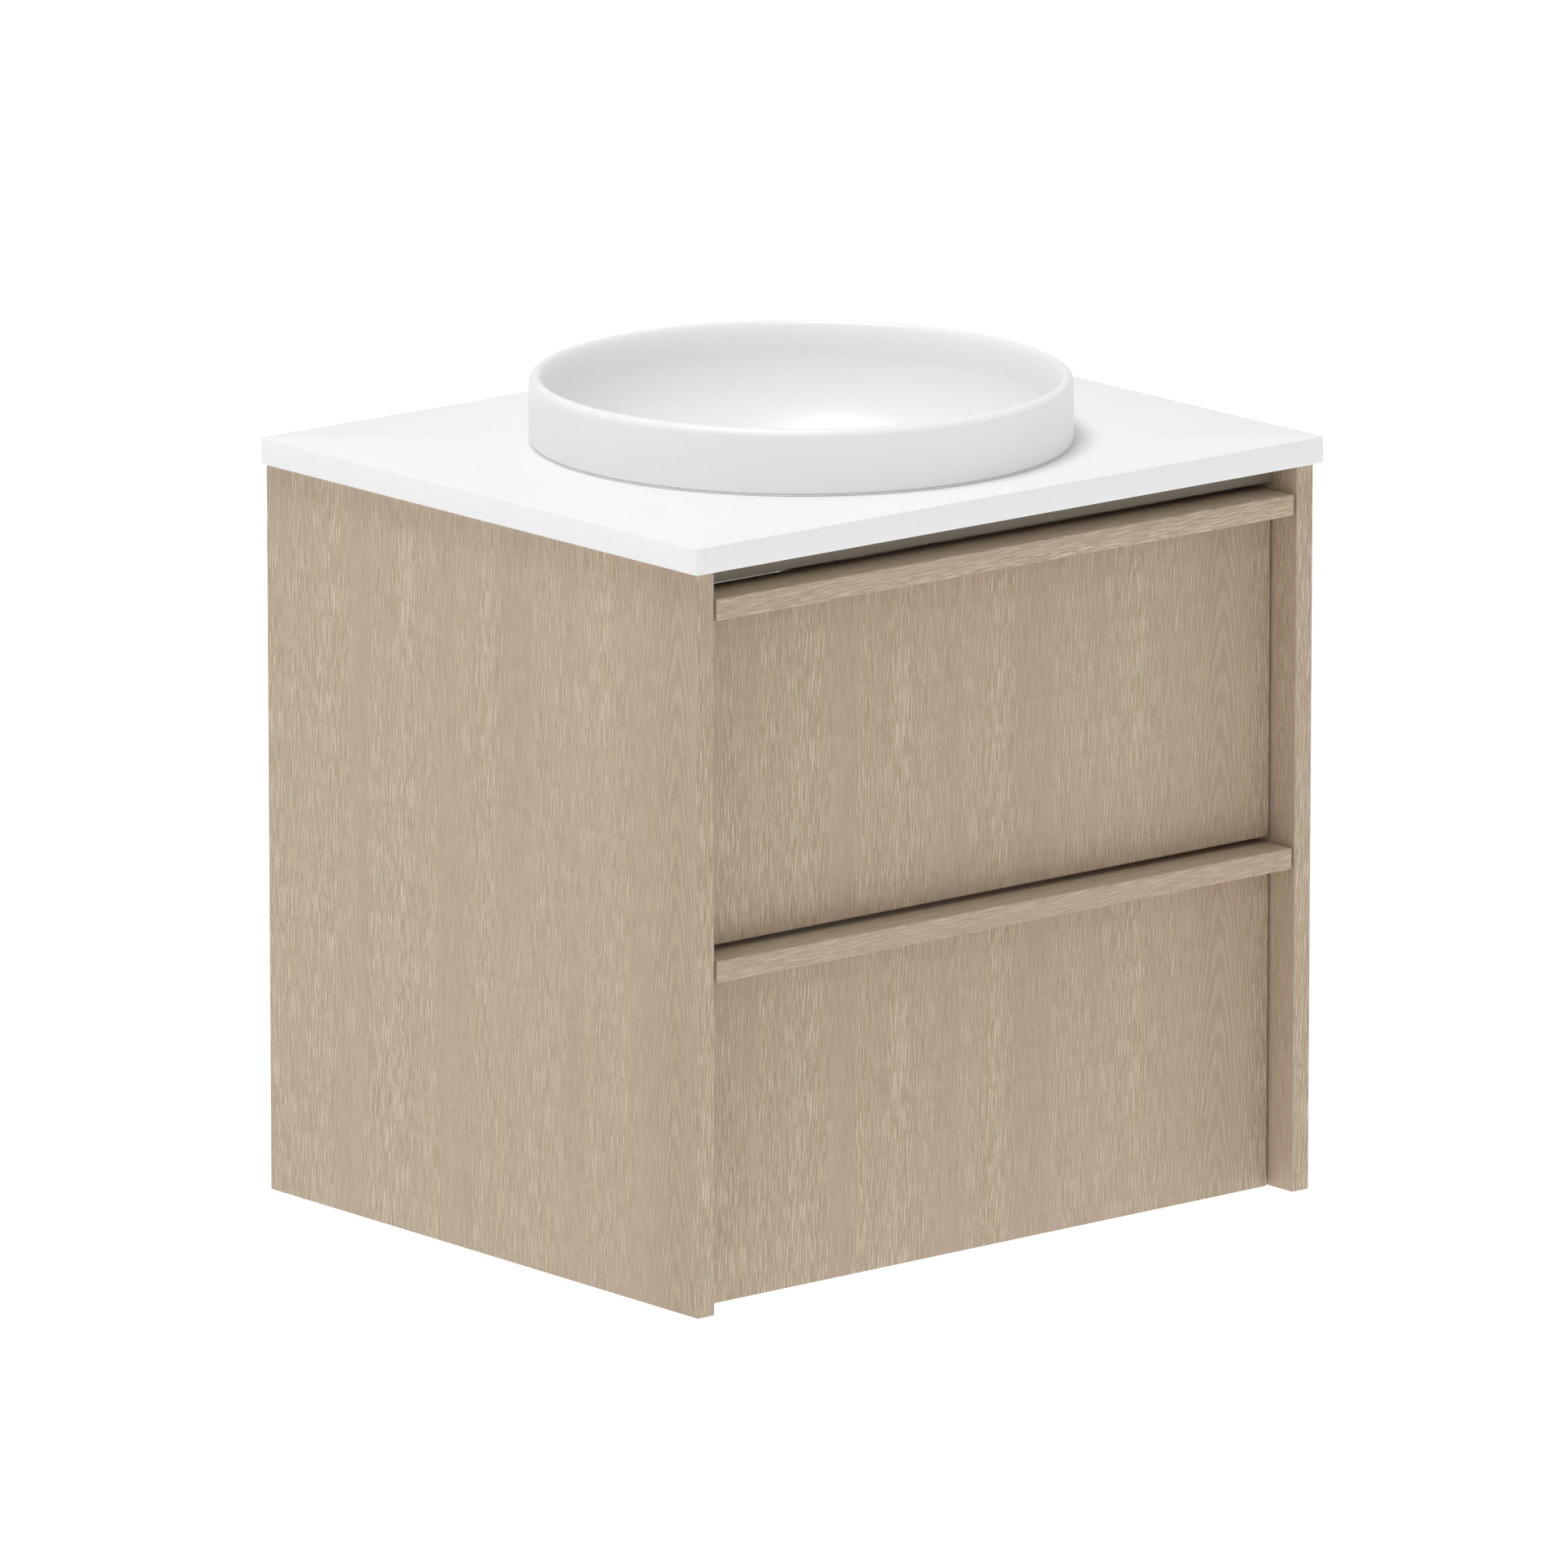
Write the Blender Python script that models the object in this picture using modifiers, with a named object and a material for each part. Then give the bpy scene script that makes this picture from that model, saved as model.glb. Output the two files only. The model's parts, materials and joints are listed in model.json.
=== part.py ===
"""A wall-hung vanity: a two-drawer cabinet, a solid benchtop and a round semi-inset basin,
with the basin's pop-up waste and bottle trap, and the drawers' undermount runners.

Units are metres, +Z is up, +X is to the right for someone facing the front and +Y points at the
wall. The origin is the centre of the hanging rail's back face, which lies on the wall plane.
"""

import math

import bmesh
import bpy
import numpy as np
from mathutils import Vector

# ---- Benchtop and carcass -------------------------------------------------------------------
TOP_WIDTH = 0.600
TOP_DEPTH = 0.500
TOP_THICKNESS = 0.020
TOP_EDGE = 0.0010
SIDE_OVERHANG = 0.0055
FRONT_OVERHANG = 0.006
CARCASS_HEIGHT = 0.550
BOARD = 0.016
BOARD_EDGE = 0.0004
HANGING_RAIL_HEIGHT = 0.100
LOWER_RAIL_HEIGHT = 0.100
TOP_RAIL_DEPTH = 0.060
WALL_SCREW_RADIUS = 0.004
WALL_SCREW_INSETS = (0.060, 0.200)
FIT = 0.0003

# ---- Drawer fronts --------------------------------------------------------------------------
FRONT_RECESS = 0.026
SIDE_GAP = 0.0025
TOP_REVEAL = 0.005
MIDDLE_REVEAL = 0.0045
HANDLE_RAIL_THICKNESS = 0.016
FRONT_THICKNESS = 0.016

# ---- Drawer boxes ---------------------------------------------------------------------------
BOX_SIDE_GAP = 0.005
BOX_BOARD = 0.016
BOX_BASE = 0.012
BOX_LIFT = 0.027
BOX_BASE_LIFT = 0.013
BOX_REAR_GAP = 0.036
BOX_UNDER_BOWL = 0.060
BOX_UNDER_RAIL = 0.040
RECESS_BOARD = 0.012
RECESS_HALF_WIDTH = 0.085
RECESS_BEFORE_TRAP = 0.080
BASE_PANEL_SETBACK = 0.002

# ---- Runners, one steel section inside the next ----------------------------------------------
STEEL = 0.0015
RUNNER_DROP = 0.0055
RUNNER_WIDTH = 0.046
RUNNER_WALL_FLANGE = 0.035
RUNNER_UPSTAND = 0.010
SLIDE_GAP = 0.0005
MIDDLE_SLOT = 0.006
MIDDLE_SHARE = 0.83

# ---- Locking clips under the drawer base ------------------------------------------------------
LOCK_WIDTH = 0.035
LOCK_LENGTH = 0.050
LOCK_LIFT = 0.0020
LEVER_WIDTH = 0.009
LEVER_LENGTH = 0.047
LEVER_THICKNESS = 0.0055
LEVER_GAP = 0.0035
LEVER_TAB_WIDTH = 0.008
LEVER_TAB_LENGTH = 0.014
LEVER_TAB_SETBACK = 0.0015
PIVOT_RADIUS = 0.0020
PIVOT_CLEARANCE = 0.0003
LOCK_EAR = 0.0037

# ---- Basin ------------------------------------------------------------------------------------
BASIN_RADIUS = 0.200
BASIN_HEIGHT = 0.049
BASIN_FORWARD = 0.010
RIM_THICKNESS = 0.012
BASIN_WALL = 0.011
BOWL_DEPTH = 0.113
BOWL_POWER = 2.4
SEAT_DEPTH = 0.003
CUTOUT_GAP = 0.0015
SEALANT_THICKNESS = 0.0009
SEALANT_INSET = 0.001

# ---- Waste and trap ---------------------------------------------------------------------------
WASTE_RADIUS = 0.0205
WASTE_WALL = 0.003
WASTE_LENGTH = 0.075
FLANGE_THICKNESS = 0.0022
FLANGE_MARGIN = 0.002
SEAT_GAP = 0.002
DRAIN_GAP = 0.002
SEAL_THICKNESS = 0.0012
PLUG_RADIUS = 0.030
PLUG_RISE = 0.0045
STEM_RADIUS = 0.004
STEM_LENGTH = 0.050
GUIDE_DEPTH = 0.029
GUIDE_HEIGHT = 0.008
GUIDE_BAR = 0.003
WASHER_THICKNESS = 0.0042
WASHER_WIDTH = 0.010
BACKNUT_HEIGHT = 0.012
BACKNUT_WALL = 0.008
PIPE_RADIUS = 0.016
PIPE_WALL = 0.0015
SLIP_NUT_HEIGHT = 0.024
SLIP_NUT_WALL = 0.006
INLET_LENGTH = 0.074
BOTTLE_RADIUS = 0.030
BOTTLE_WALL = 0.0025
BOTTLE_DROP = 0.026
BELOW_BRANCH = 0.004
COLLAR_HEIGHT = 0.008
SKIRT_HEIGHT = 0.010
CUP_HEIGHT = 0.033
OUTLET_DROP = 0.024
BRANCH_STUB = 0.012
BRANCH_WALL = 0.0027
OUTLET_OVERLAP = 0.012
WALL_FLANGE_RADIUS = 0.035
WALL_FLANGE_DEPTH = 0.012

# ---- Facets -------------------------------------------------------------------------------------
BASIN_STEPS = 48
CUTOUT_STEPS = 96
PIPE_STEPS = 24
HOLE_STEPS = 12
RIM_STEPS = 4
BOWL_STEPS = 13

# ---- Places worked out from the sizes ------------------------------------------------------------
CARCASS_TOP = HANGING_RAIL_HEIGHT / 2
CARCASS_BOTTOM = CARCASS_TOP - CARCASS_HEIGHT
CARCASS_FRONT = FRONT_OVERHANG - TOP_DEPTH
CARCASS_HALF = TOP_WIDTH / 2 - SIDE_OVERHANG
OPENING_HALF = CARCASS_HALF - BOARD
TOP_UNDERSIDE = CARCASS_TOP + FIT
TOP_SURFACE = TOP_UNDERSIDE + TOP_THICKNESS
FACE_Y = CARCASS_FRONT + FRONT_RECESS
FACE_BACK = FACE_Y + FRONT_THICKNESS
FRONT_HALF = OPENING_HALF - SIDE_GAP
FRONT_HEIGHT = (CARCASS_HEIGHT - BOARD - TOP_REVEAL - MIDDLE_REVEAL) / 2
UPPER_TOP = CARCASS_TOP - BOARD - TOP_REVEAL
LOWER_TOP = UPPER_TOP - FRONT_HEIGHT - MIDDLE_REVEAL

BASIN_Y = -TOP_DEPTH / 2 - BASIN_FORWARD
FLANGE_RADIUS = PLUG_RADIUS + FLANGE_MARGIN
SEAT_RADIUS = FLANGE_RADIUS + SEAT_GAP
DRAIN_RADIUS = WASTE_RADIUS + DRAIN_GAP
RIM_TOP = TOP_SURFACE + BASIN_HEIGHT
RIM_RADIUS = RIM_THICKNESS / 2
BOWL_FLOOR = RIM_TOP - BOWL_DEPTH
BOWL_UNDERSIDE = BOWL_FLOOR - BASIN_WALL
FOOT = TOP_SURFACE + FIT + SEALANT_THICKNESS + FIT

BOX_HALF = OPENING_HALF - BOX_SIDE_GAP
BOX_INNER = BOX_HALF - BOX_BOARD
BOX_START = FACE_BACK + FIT
BOX_FRONT_BACK = BOX_START + BOX_BOARD
BOX_END = -BOARD - BOX_REAR_GAP
RECESS_FRONT = BASIN_Y - RECESS_BEFORE_TRAP

FINISHES = {
    "oak_veneer": ((0.46, 0.37, 0.27), 0.55, 0.0),
    "white_board": ((0.80, 0.79, 0.76), 0.45, 0.0),
    "solid_surface": ((0.86, 0.86, 0.86), 0.30, 0.0),
    "ceramic": ((0.84, 0.84, 0.84), 0.25, 0.0),
    "chrome": ((0.78, 0.79, 0.80), 0.12, 1.0),
    "steel": ((0.55, 0.56, 0.57), 0.35, 1.0),
    "rubber": ((0.03, 0.03, 0.03), 0.70, 0.0),
    "sealant": ((0.82, 0.82, 0.80), 0.50, 0.0),
    "plastic": ((0.22, 0.23, 0.24), 0.50, 0.0),
}


def clear_scene():
    for obj in list(bpy.data.objects):
        bpy.data.objects.remove(obj, do_unlink=True)


def new_collection(name):
    made = bpy.data.collections.new(name)
    bpy.context.scene.collection.children.link(made)
    return made


def new_material(name):
    colour, roughness, metallic = FINISHES[name]
    made = bpy.data.materials.new(name)
    made.use_nodes = True
    shader = made.node_tree.nodes["Principled BSDF"]
    shader.inputs["Base Color"].default_value = (*colour, 1.0)
    shader.inputs["Roughness"].default_value = roughness
    shader.inputs["Metallic"].default_value = metallic
    made.diffuse_color = (*colour, 1.0)
    return made


clear_scene()
PARTS = new_collection("vanity")
CUTTERS = new_collection("vanity_cutters")
MATERIALS = {name: new_material(name) for name in FINISHES}


def owner(name, at):
    """An empty that carries a moving group, at a point on its joint's axis."""
    empty = bpy.data.objects.new(name, None)
    empty.location = at
    PARTS.objects.link(empty)
    return empty


def add_part(name, data, at, finish, group):
    obj = bpy.data.objects.new(name, data)
    obj.parent = group
    obj.location = Vector(at) - group.location
    data.materials.append(MATERIALS[finish])
    PARTS.objects.link(obj)
    return obj


def add_cutter(obj):
    CUTTERS.objects.link(obj)
    obj.hide_render = True
    obj.display_type = "WIRE"
    return obj


def box_mesh(name, size):
    mesh = bpy.data.meshes.new(name)
    shape = bmesh.new()
    bmesh.ops.create_cube(shape, size=1.0)
    bmesh.ops.scale(shape, vec=Vector(size), verts=shape.verts)
    shape.to_mesh(mesh)
    shape.free()
    return mesh


def cylinder_mesh(name, radius, length, steps):
    mesh = bpy.data.meshes.new(name)
    shape = bmesh.new()
    bmesh.ops.create_cone(
        shape, cap_ends=True, segments=steps, radius1=radius, radius2=radius, depth=length
    )
    shape.to_mesh(mesh)
    shape.free()
    return mesh


def board(name, x, y, z, finish, group, edge=BOARD_EDGE):
    """A rectangular piece between (low, high) pairs, with its edges eased."""
    size = [high - low for low, high in (x, y, z)]
    centre = [(low + high) / 2 for low, high in (x, y, z)]
    obj = add_part(name, box_mesh(name, size), centre, finish, group)
    bevel = obj.modifiers.new("eased_edges", "BEVEL")
    bevel.width = edge
    bevel.segments = 1
    bevel.limit_method = "NONE"
    return obj


def combine(obj, tool, operation):
    """A Boolean with a helper, which is hidden from the render."""
    change = obj.modifiers.new(tool.name, "BOOLEAN")
    change.operation = operation
    change.solver = "EXACT"
    change.object = tool


def cylinder_helper(name, radius, length, at, along="Z", steps=PIPE_STEPS):
    obj = bpy.data.objects.new(name, cylinder_mesh(name, radius, length, steps))
    obj.location = at
    if along == "Y":
        obj.rotation_euler.x = -math.pi / 2
    return add_cutter(obj)


def box_helper(name, size, at):
    obj = bpy.data.objects.new(name, box_mesh(name, size))
    obj.location = at
    return add_cutter(obj)


def turned(name, profile, at, finish, group, along="Z", steps=PIPE_STEPS, solid=False):
    """Turns (radius, height) points about an axis. The profile runs down the outside first;
    it is a closed loop, or, on a solid piece, a line whose two ends lie on the axis."""
    points = [(radius, 0.0, height) for radius, height in profile]
    edges = [(i, i + 1) for i in range(len(points) - 1)]
    if not solid:
        edges.append((len(points) - 1, 0))
    mesh = bpy.data.meshes.new(name)
    mesh.from_pydata(points, edges, [])
    obj = add_part(name, mesh, at, finish, group)
    screw = obj.modifiers.new("turn", "SCREW")
    screw.axis = "Z"
    screw.angle = 2 * math.pi
    screw.steps = steps
    screw.render_steps = steps
    screw.use_merge_vertices = True
    screw.merge_threshold = 0.00001
    screw.use_smooth_shade = True
    if along == "Y":
        obj.rotation_euler.x = -math.pi / 2
    return obj


def tube_profile(outer, inner, low, high):
    return [(outer, high), (outer, low), (inner, low), (inner, high)]


def outline_curve(name, outlines, thickness):
    """A flat filled outline, or several where the inner ones are holes, made thick."""
    curve = bpy.data.curves.new(name, "CURVE")
    curve.dimensions = "2D"
    curve.fill_mode = "BOTH"
    curve.extrude = thickness / 2
    for outline in outlines:
        spline = curve.splines.new("POLY")
        spline.points.add(len(outline) - 1)
        for point, (u, v) in zip(spline.points, outline):
            point.co = (u, v, 0.0, 1.0)
        spline.use_cyclic_u = True
    return curve


def section_along_y(name, outline, y, finish, group):
    """A constant (x, z) section, such as a rolled steel profile, from y[0] to y[1]."""
    curve = outline_curve(name, [outline], y[1] - y[0])
    obj = add_part(name, curve, (0, (y[0] + y[1]) / 2, 0), finish, group)
    obj.rotation_euler.x = math.pi / 2
    return obj


def plate(name, outlines, z, finish, group):
    """A flat (x, y) outline from z[0] to z[1]."""
    curve = outline_curve(name, outlines, z[1] - z[0])
    return add_part(name, curve, (0, 0, (z[0] + z[1]) / 2), finish, group)


def sides():
    return (("left", -1), ("right", 1))


def span(side, near, far):
    """The (low, high) pair between two distances from the middle, on one side of it."""
    return tuple(sorted((side * near, side * far)))


# ---- Carcass and benchtop -------------------------------------------------------------------------
def make_carcass(group):
    for word, side in sides():
        board(
            f"cabinet_side_{word}",
            span(side, OPENING_HALF, CARCASS_HALF),
            (CARCASS_FRONT, 0),
            (CARCASS_BOTTOM, CARCASS_TOP),
            "oak_veneer",
            group,
        )
    across = (FIT - OPENING_HALF, OPENING_HALF - FIT)
    board(
        "cabinet_base",
        across,
        (FACE_BACK + BASE_PANEL_SETBACK, 0),
        (CARCASS_BOTTOM, CARCASS_BOTTOM + BOARD),
        "white_board",
        group,
    )
    base_top = CARCASS_BOTTOM + BOARD + FIT
    board(
        "lower_back_rail",
        across,
        (-BOARD, 0),
        (base_top, base_top + LOWER_RAIL_HEIGHT),
        "white_board",
        group,
    )
    make_hanging_rail(across, group)
    make_top_rail(across, group)


def make_hanging_rail(across, group):
    rail = board(
        "hanging_rail",
        across,
        (-BOARD, 0),
        (-HANGING_RAIL_HEIGHT / 2, HANGING_RAIL_HEIGHT / 2),
        "white_board",
        group,
    )
    for word, side in sides():
        for inset in WALL_SCREW_INSETS:
            at = (side * (OPENING_HALF - inset), -BOARD / 2, 0)
            name = f"wall_screw_hole_{word}_{round(inset * 1000)}"
            hole = cylinder_helper(name, WALL_SCREW_RADIUS, 2 * BOARD, at, "Y", HOLE_STEPS)
            combine(rail, hole, "DIFFERENCE")


def make_top_rail(across, group):
    """The rail under the benchtop's front edge, scooped where the bowl hangs behind it."""
    rail = board(
        "top_front_rail",
        across,
        (FACE_Y, FACE_Y + TOP_RAIL_DEPTH),
        (CARCASS_TOP - BOARD, CARCASS_TOP),
        "oak_veneer",
        group,
    )
    at = (0, BASIN_Y, CARCASS_TOP - BOARD / 2)
    scoop = cylinder_helper("rail_scoop", cutout_radius(), 2 * BOARD, at, steps=CUTOUT_STEPS)
    combine(rail, scoop, "DIFFERENCE")


def make_benchtop(group):
    top = board(
        "benchtop",
        (-TOP_WIDTH / 2, TOP_WIDTH / 2),
        (-TOP_DEPTH, 0),
        (TOP_UNDERSIDE, TOP_SURFACE),
        "solid_surface",
        group,
        edge=TOP_EDGE,
    )
    at = (0, BASIN_Y, TOP_SURFACE - TOP_THICKNESS / 2)
    cut = cylinder_helper(
        "basin_cutout", cutout_radius(), 2 * TOP_THICKNESS, at, steps=CUTOUT_STEPS
    )
    combine(top, cut, "DIFFERENCE")


# ---- Basin --------------------------------------------------------------------------------------
def bowl_inside():
    """(radius, height) points of the bowl's inner face, from the rim's tangent down to the seat.
    It is a quarter of a superellipse: upright at the rim and level at the waste."""
    turn = np.linspace(0, math.pi / 2, BOWL_STEPS)
    start = RIM_TOP - RIM_RADIUS
    reach = BASIN_RADIUS - RIM_THICKNESS - SEAT_RADIUS
    radius = SEAT_RADIUS + reach * np.cos(turn).clip(0) ** (2 / BOWL_POWER)
    height = start - (start - BOWL_FLOOR) * np.sin(turn) ** (2 / BOWL_POWER)
    return np.stack([radius, height], axis=1)


def bowl_outside():
    """The inner face moved outwards by the wall, from the foot's level down to its underside."""
    inside = bowl_inside()
    along = np.gradient(inside, axis=0)
    along[0], along[-1] = (0, -1), (-1, 0)
    along /= np.linalg.norm(along, axis=1)[:, None]
    outwards = np.stack([-along[:, 1], along[:, 0]], axis=1)
    moved = inside + BASIN_WALL * outwards
    neck = np.interp(-FOOT, -moved[:, 1], moved[:, 0])
    return np.vstack([[neck, FOOT], moved[moved[:, 1] < FOOT - FIT]])


def cutout_radius():
    return bowl_outside()[0, 0] + CUTOUT_GAP


def make_basin(group):
    lean = np.linspace(math.pi / 2, 0, RIM_STEPS, endpoint=False)
    rim_middle = (BASIN_RADIUS - RIM_RADIUS, RIM_TOP - RIM_RADIUS)
    rim_outer = [
        (rim_middle[0] + RIM_RADIUS * math.cos(a), rim_middle[1] + RIM_RADIUS * math.sin(a))
        for a in lean
    ]
    rim_inner = [
        (rim_middle[0] - RIM_RADIUS * math.cos(a), rim_middle[1] + RIM_RADIUS * math.sin(a))
        for a in lean[:0:-1]
    ]
    profile = [
        *rim_outer,
        (BASIN_RADIUS, rim_middle[1]),
        (BASIN_RADIUS, FOOT),
        *bowl_outside(),
        (DRAIN_RADIUS, BOWL_UNDERSIDE),
        (DRAIN_RADIUS, BOWL_FLOOR - SEAT_DEPTH),
        (SEAT_RADIUS, BOWL_FLOOR - SEAT_DEPTH),
        *bowl_inside()[::-1],
        *rim_inner,
    ]
    turned("basin", profile, (0, BASIN_Y, 0), "ceramic", group, steps=BASIN_STEPS)
    low = TOP_SURFACE + FIT
    bead = tube_profile(
        BASIN_RADIUS - SEALANT_INSET, cutout_radius() + SEALANT_INSET, low, low + SEALANT_THICKNESS
    )
    turned("basin_sealant", bead, (0, BASIN_Y, 0), "sealant", group, steps=BASIN_STEPS)


# ---- Waste --------------------------------------------------------------------------------------
SEAL_LOW = BOWL_FLOOR - SEAT_DEPTH + FIT
FLANGE_LOW = SEAL_LOW + SEAL_THICKNESS + FIT
FLANGE_TOP = FLANGE_LOW + FLANGE_THICKNESS
WASTE_END = BOWL_UNDERSIDE - WASTE_LENGTH
WASTE_BORE = WASTE_RADIUS - WASTE_WALL
NUT_BORE = WASTE_RADIUS + FIT
WASHER_RADIUS = NUT_BORE + WASHER_WIDTH
BACKNUT_RADIUS = NUT_BORE + BACKNUT_WALL


def make_waste(group):
    at = (0, BASIN_Y, 0)
    turned(
        "waste_body",
        [
            (FLANGE_RADIUS - FLANGE_THICKNESS / 2, FLANGE_TOP),
            (FLANGE_RADIUS, FLANGE_LOW + FLANGE_THICKNESS / 2),
            (FLANGE_RADIUS, FLANGE_LOW),
            (WASTE_RADIUS, FLANGE_LOW),
            (WASTE_RADIUS, WASTE_END),
            (WASTE_BORE, WASTE_END),
            (WASTE_BORE, FLANGE_LOW - WASTE_WALL),
            (PLUG_RADIUS - WASTE_WALL, FLANGE_TOP),
        ],
        at,
        "chrome",
        group,
    )
    make_guide(group)
    seal = tube_profile(FLANGE_RADIUS, DRAIN_RADIUS + FIT, SEAL_LOW, SEAL_LOW + SEAL_THICKNESS)
    turned("waste_seal", seal, at, "rubber", group)
    washer_top = BOWL_UNDERSIDE - FIT
    washer_low = washer_top - WASHER_THICKNESS
    washer = tube_profile(WASHER_RADIUS, NUT_BORE, washer_low, washer_top)
    turned("waste_washer", washer, at, "rubber", group)
    nut_top = washer_low - FIT
    nut = [
        (WASHER_RADIUS, nut_top),
        (WASHER_RADIUS, nut_top - BACKNUT_HEIGHT / 4),
        (BACKNUT_RADIUS, nut_top - BACKNUT_HEIGHT / 3),
        (BACKNUT_RADIUS, nut_top - BACKNUT_HEIGHT),
        (NUT_BORE, nut_top - BACKNUT_HEIGHT),
        (NUT_BORE, nut_top),
    ]
    turned("waste_backnut", nut, at, "chrome", group)


def make_guide(group):
    """The cross across the waste, whose hub guides the plug's stem."""
    middle = (0, BASIN_Y, FLANGE_TOP - GUIDE_DEPTH - GUIDE_HEIGHT / 2)
    hub_radius = STEM_RADIUS + GUIDE_BAR
    hub = cylinder_mesh("waste_guide", hub_radius, GUIDE_HEIGHT + GUIDE_BAR, HOLE_STEPS)
    guide = add_part("waste_guide", hub, middle, "plastic", group)
    reach = 2 * (WASTE_BORE - 2 * FIT)
    for name, size in (
        ("guide_bar_across", (reach, GUIDE_BAR, GUIDE_HEIGHT)),
        ("guide_bar_along", (GUIDE_BAR, reach, GUIDE_HEIGHT)),
    ):
        combine(guide, box_helper(name, size, middle), "UNION")
    stem_hole = STEM_RADIUS + FIT
    bore = cylinder_helper("guide_bore", stem_hole, 3 * GUIDE_HEIGHT, middle, steps=HOLE_STEPS)
    combine(guide, bore, "DIFFERENCE")


def make_plug(group):
    """The domed pop-up plug, whose stem slides in the guide across the waste."""
    low = FLANGE_TOP + SLIDE_GAP
    rim = low + PLUG_RISE / 3
    dome = [
        (PLUG_RADIUS * math.sin(a), rim + (PLUG_RISE + low - rim) * math.cos(a))
        for a in np.linspace(0, math.pi / 2, RIM_STEPS + 1)
    ]
    profile = [
        *dome,
        (PLUG_RADIUS, low),
        (STEM_RADIUS, low),
        (STEM_RADIUS, low - STEM_LENGTH),
        (0, low - STEM_LENGTH),
    ]
    turned("waste_plug", profile, (0, BASIN_Y, 0), "chrome", group, solid=True)


# ---- Trap ---------------------------------------------------------------------------------------
INLET_TOP = WASTE_END - FIT
SHOULDER = WASTE_END - 2 * PIPE_WALL
SLIP_NUT_LOW = SHOULDER - SLIP_NUT_HEIGHT / 2
PIPE_BORE = PIPE_RADIUS - PIPE_WALL
LOOSE = PIPE_RADIUS + FIT
BRANCH_RADIUS = LOOSE + BRANCH_WALL
BRANCH_END = BOTTLE_RADIUS + BRANCH_STUB
BOTTLE_TOP = WASTE_END - BOTTLE_DROP
OUTLET_Z = BOTTLE_TOP - OUTLET_DROP
BOTTLE_LOW = OUTLET_Z - BRANCH_RADIUS - BELOW_BRANCH - SKIRT_HEIGHT
SKIRT_RADIUS = BOTTLE_RADIUS - PIPE_WALL
CUP_TOP = BOTTLE_LOW + SKIRT_HEIGHT - FIT
CUP_LOW = CUP_TOP - CUP_HEIGHT


def make_trap(group):
    at = (0, BASIN_Y, 0)
    slip_nut = [
        (NUT_BORE + SLIP_NUT_WALL, SHOULDER + SLIP_NUT_HEIGHT / 2),
        (NUT_BORE + SLIP_NUT_WALL, SLIP_NUT_LOW),
        (LOOSE, SLIP_NUT_LOW),
        (LOOSE, SHOULDER),
        (NUT_BORE, SHOULDER),
        (NUT_BORE, SHOULDER + SLIP_NUT_HEIGHT / 2),
    ]
    turned("trap_inlet_nut", slip_nut, at, "chrome", group)
    inlet = [
        (WASTE_RADIUS - FIT, INLET_TOP),
        (WASTE_RADIUS - FIT, SHOULDER + FIT),
        (PIPE_RADIUS, SHOULDER + FIT),
        (PIPE_RADIUS, INLET_TOP - INLET_LENGTH),
        (PIPE_BORE, INLET_TOP - INLET_LENGTH),
        (PIPE_BORE, INLET_TOP),
    ]
    turned("trap_inlet_tube", inlet, at, "chrome", group)
    make_bottle(at, group)
    cup_bore = SKIRT_RADIUS + FIT
    cup = [
        (0, CUP_LOW + BOTTLE_WALL),
        (cup_bore - BOTTLE_WALL, CUP_LOW + BOTTLE_WALL),
        (cup_bore, CUP_LOW + 2 * BOTTLE_WALL),
        (cup_bore, CUP_TOP),
        (cup_bore + BOTTLE_WALL, CUP_TOP),
        (cup_bore + BOTTLE_WALL, CUP_LOW + BOTTLE_WALL),
        (cup_bore, CUP_LOW),
        (0, CUP_LOW),
    ]
    turned("trap_cup", cup, at, "chrome", group, solid=True)
    make_outlet(group)


def make_bottle(at, group):
    """The bottle's shell, open below for the cup, with its branch towards the wall."""
    bore = SKIRT_RADIUS - BOTTLE_WALL
    shell = [
        (LOOSE + BOTTLE_WALL, BOTTLE_TOP + COLLAR_HEIGHT),
        (LOOSE + BOTTLE_WALL, BOTTLE_TOP),
        (BOTTLE_RADIUS - BOTTLE_WALL, BOTTLE_TOP),
        (BOTTLE_RADIUS, BOTTLE_TOP - BOTTLE_WALL),
        (BOTTLE_RADIUS, BOTTLE_LOW + SKIRT_HEIGHT),
        (SKIRT_RADIUS, BOTTLE_LOW + SKIRT_HEIGHT),
        (SKIRT_RADIUS, BOTTLE_LOW),
        (bore, BOTTLE_LOW),
        (bore, BOTTLE_TOP - BOTTLE_WALL),
        (LOOSE, BOTTLE_TOP - BOTTLE_WALL),
        (LOOSE, BOTTLE_TOP + COLLAR_HEIGHT),
    ]
    bottle = turned("trap_body", shell, at, "chrome", group)
    start = bore + BOTTLE_WALL / 2
    length = BRANCH_END - start
    middle = (0, BASIN_Y + start + length / 2, OUTLET_Z)
    branch = cylinder_helper("trap_branch", BRANCH_RADIUS, length, middle, "Y")
    combine(bottle, branch, "UNION")
    bore_middle = (0, BASIN_Y + BRANCH_END, OUTLET_Z)
    branch_bore = cylinder_helper(
        "trap_branch_bore", LOOSE, 2 * (BRANCH_END - PIPE_RADIUS), bore_middle, "Y"
    )
    combine(bottle, branch_bore, "DIFFERENCE")


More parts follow.
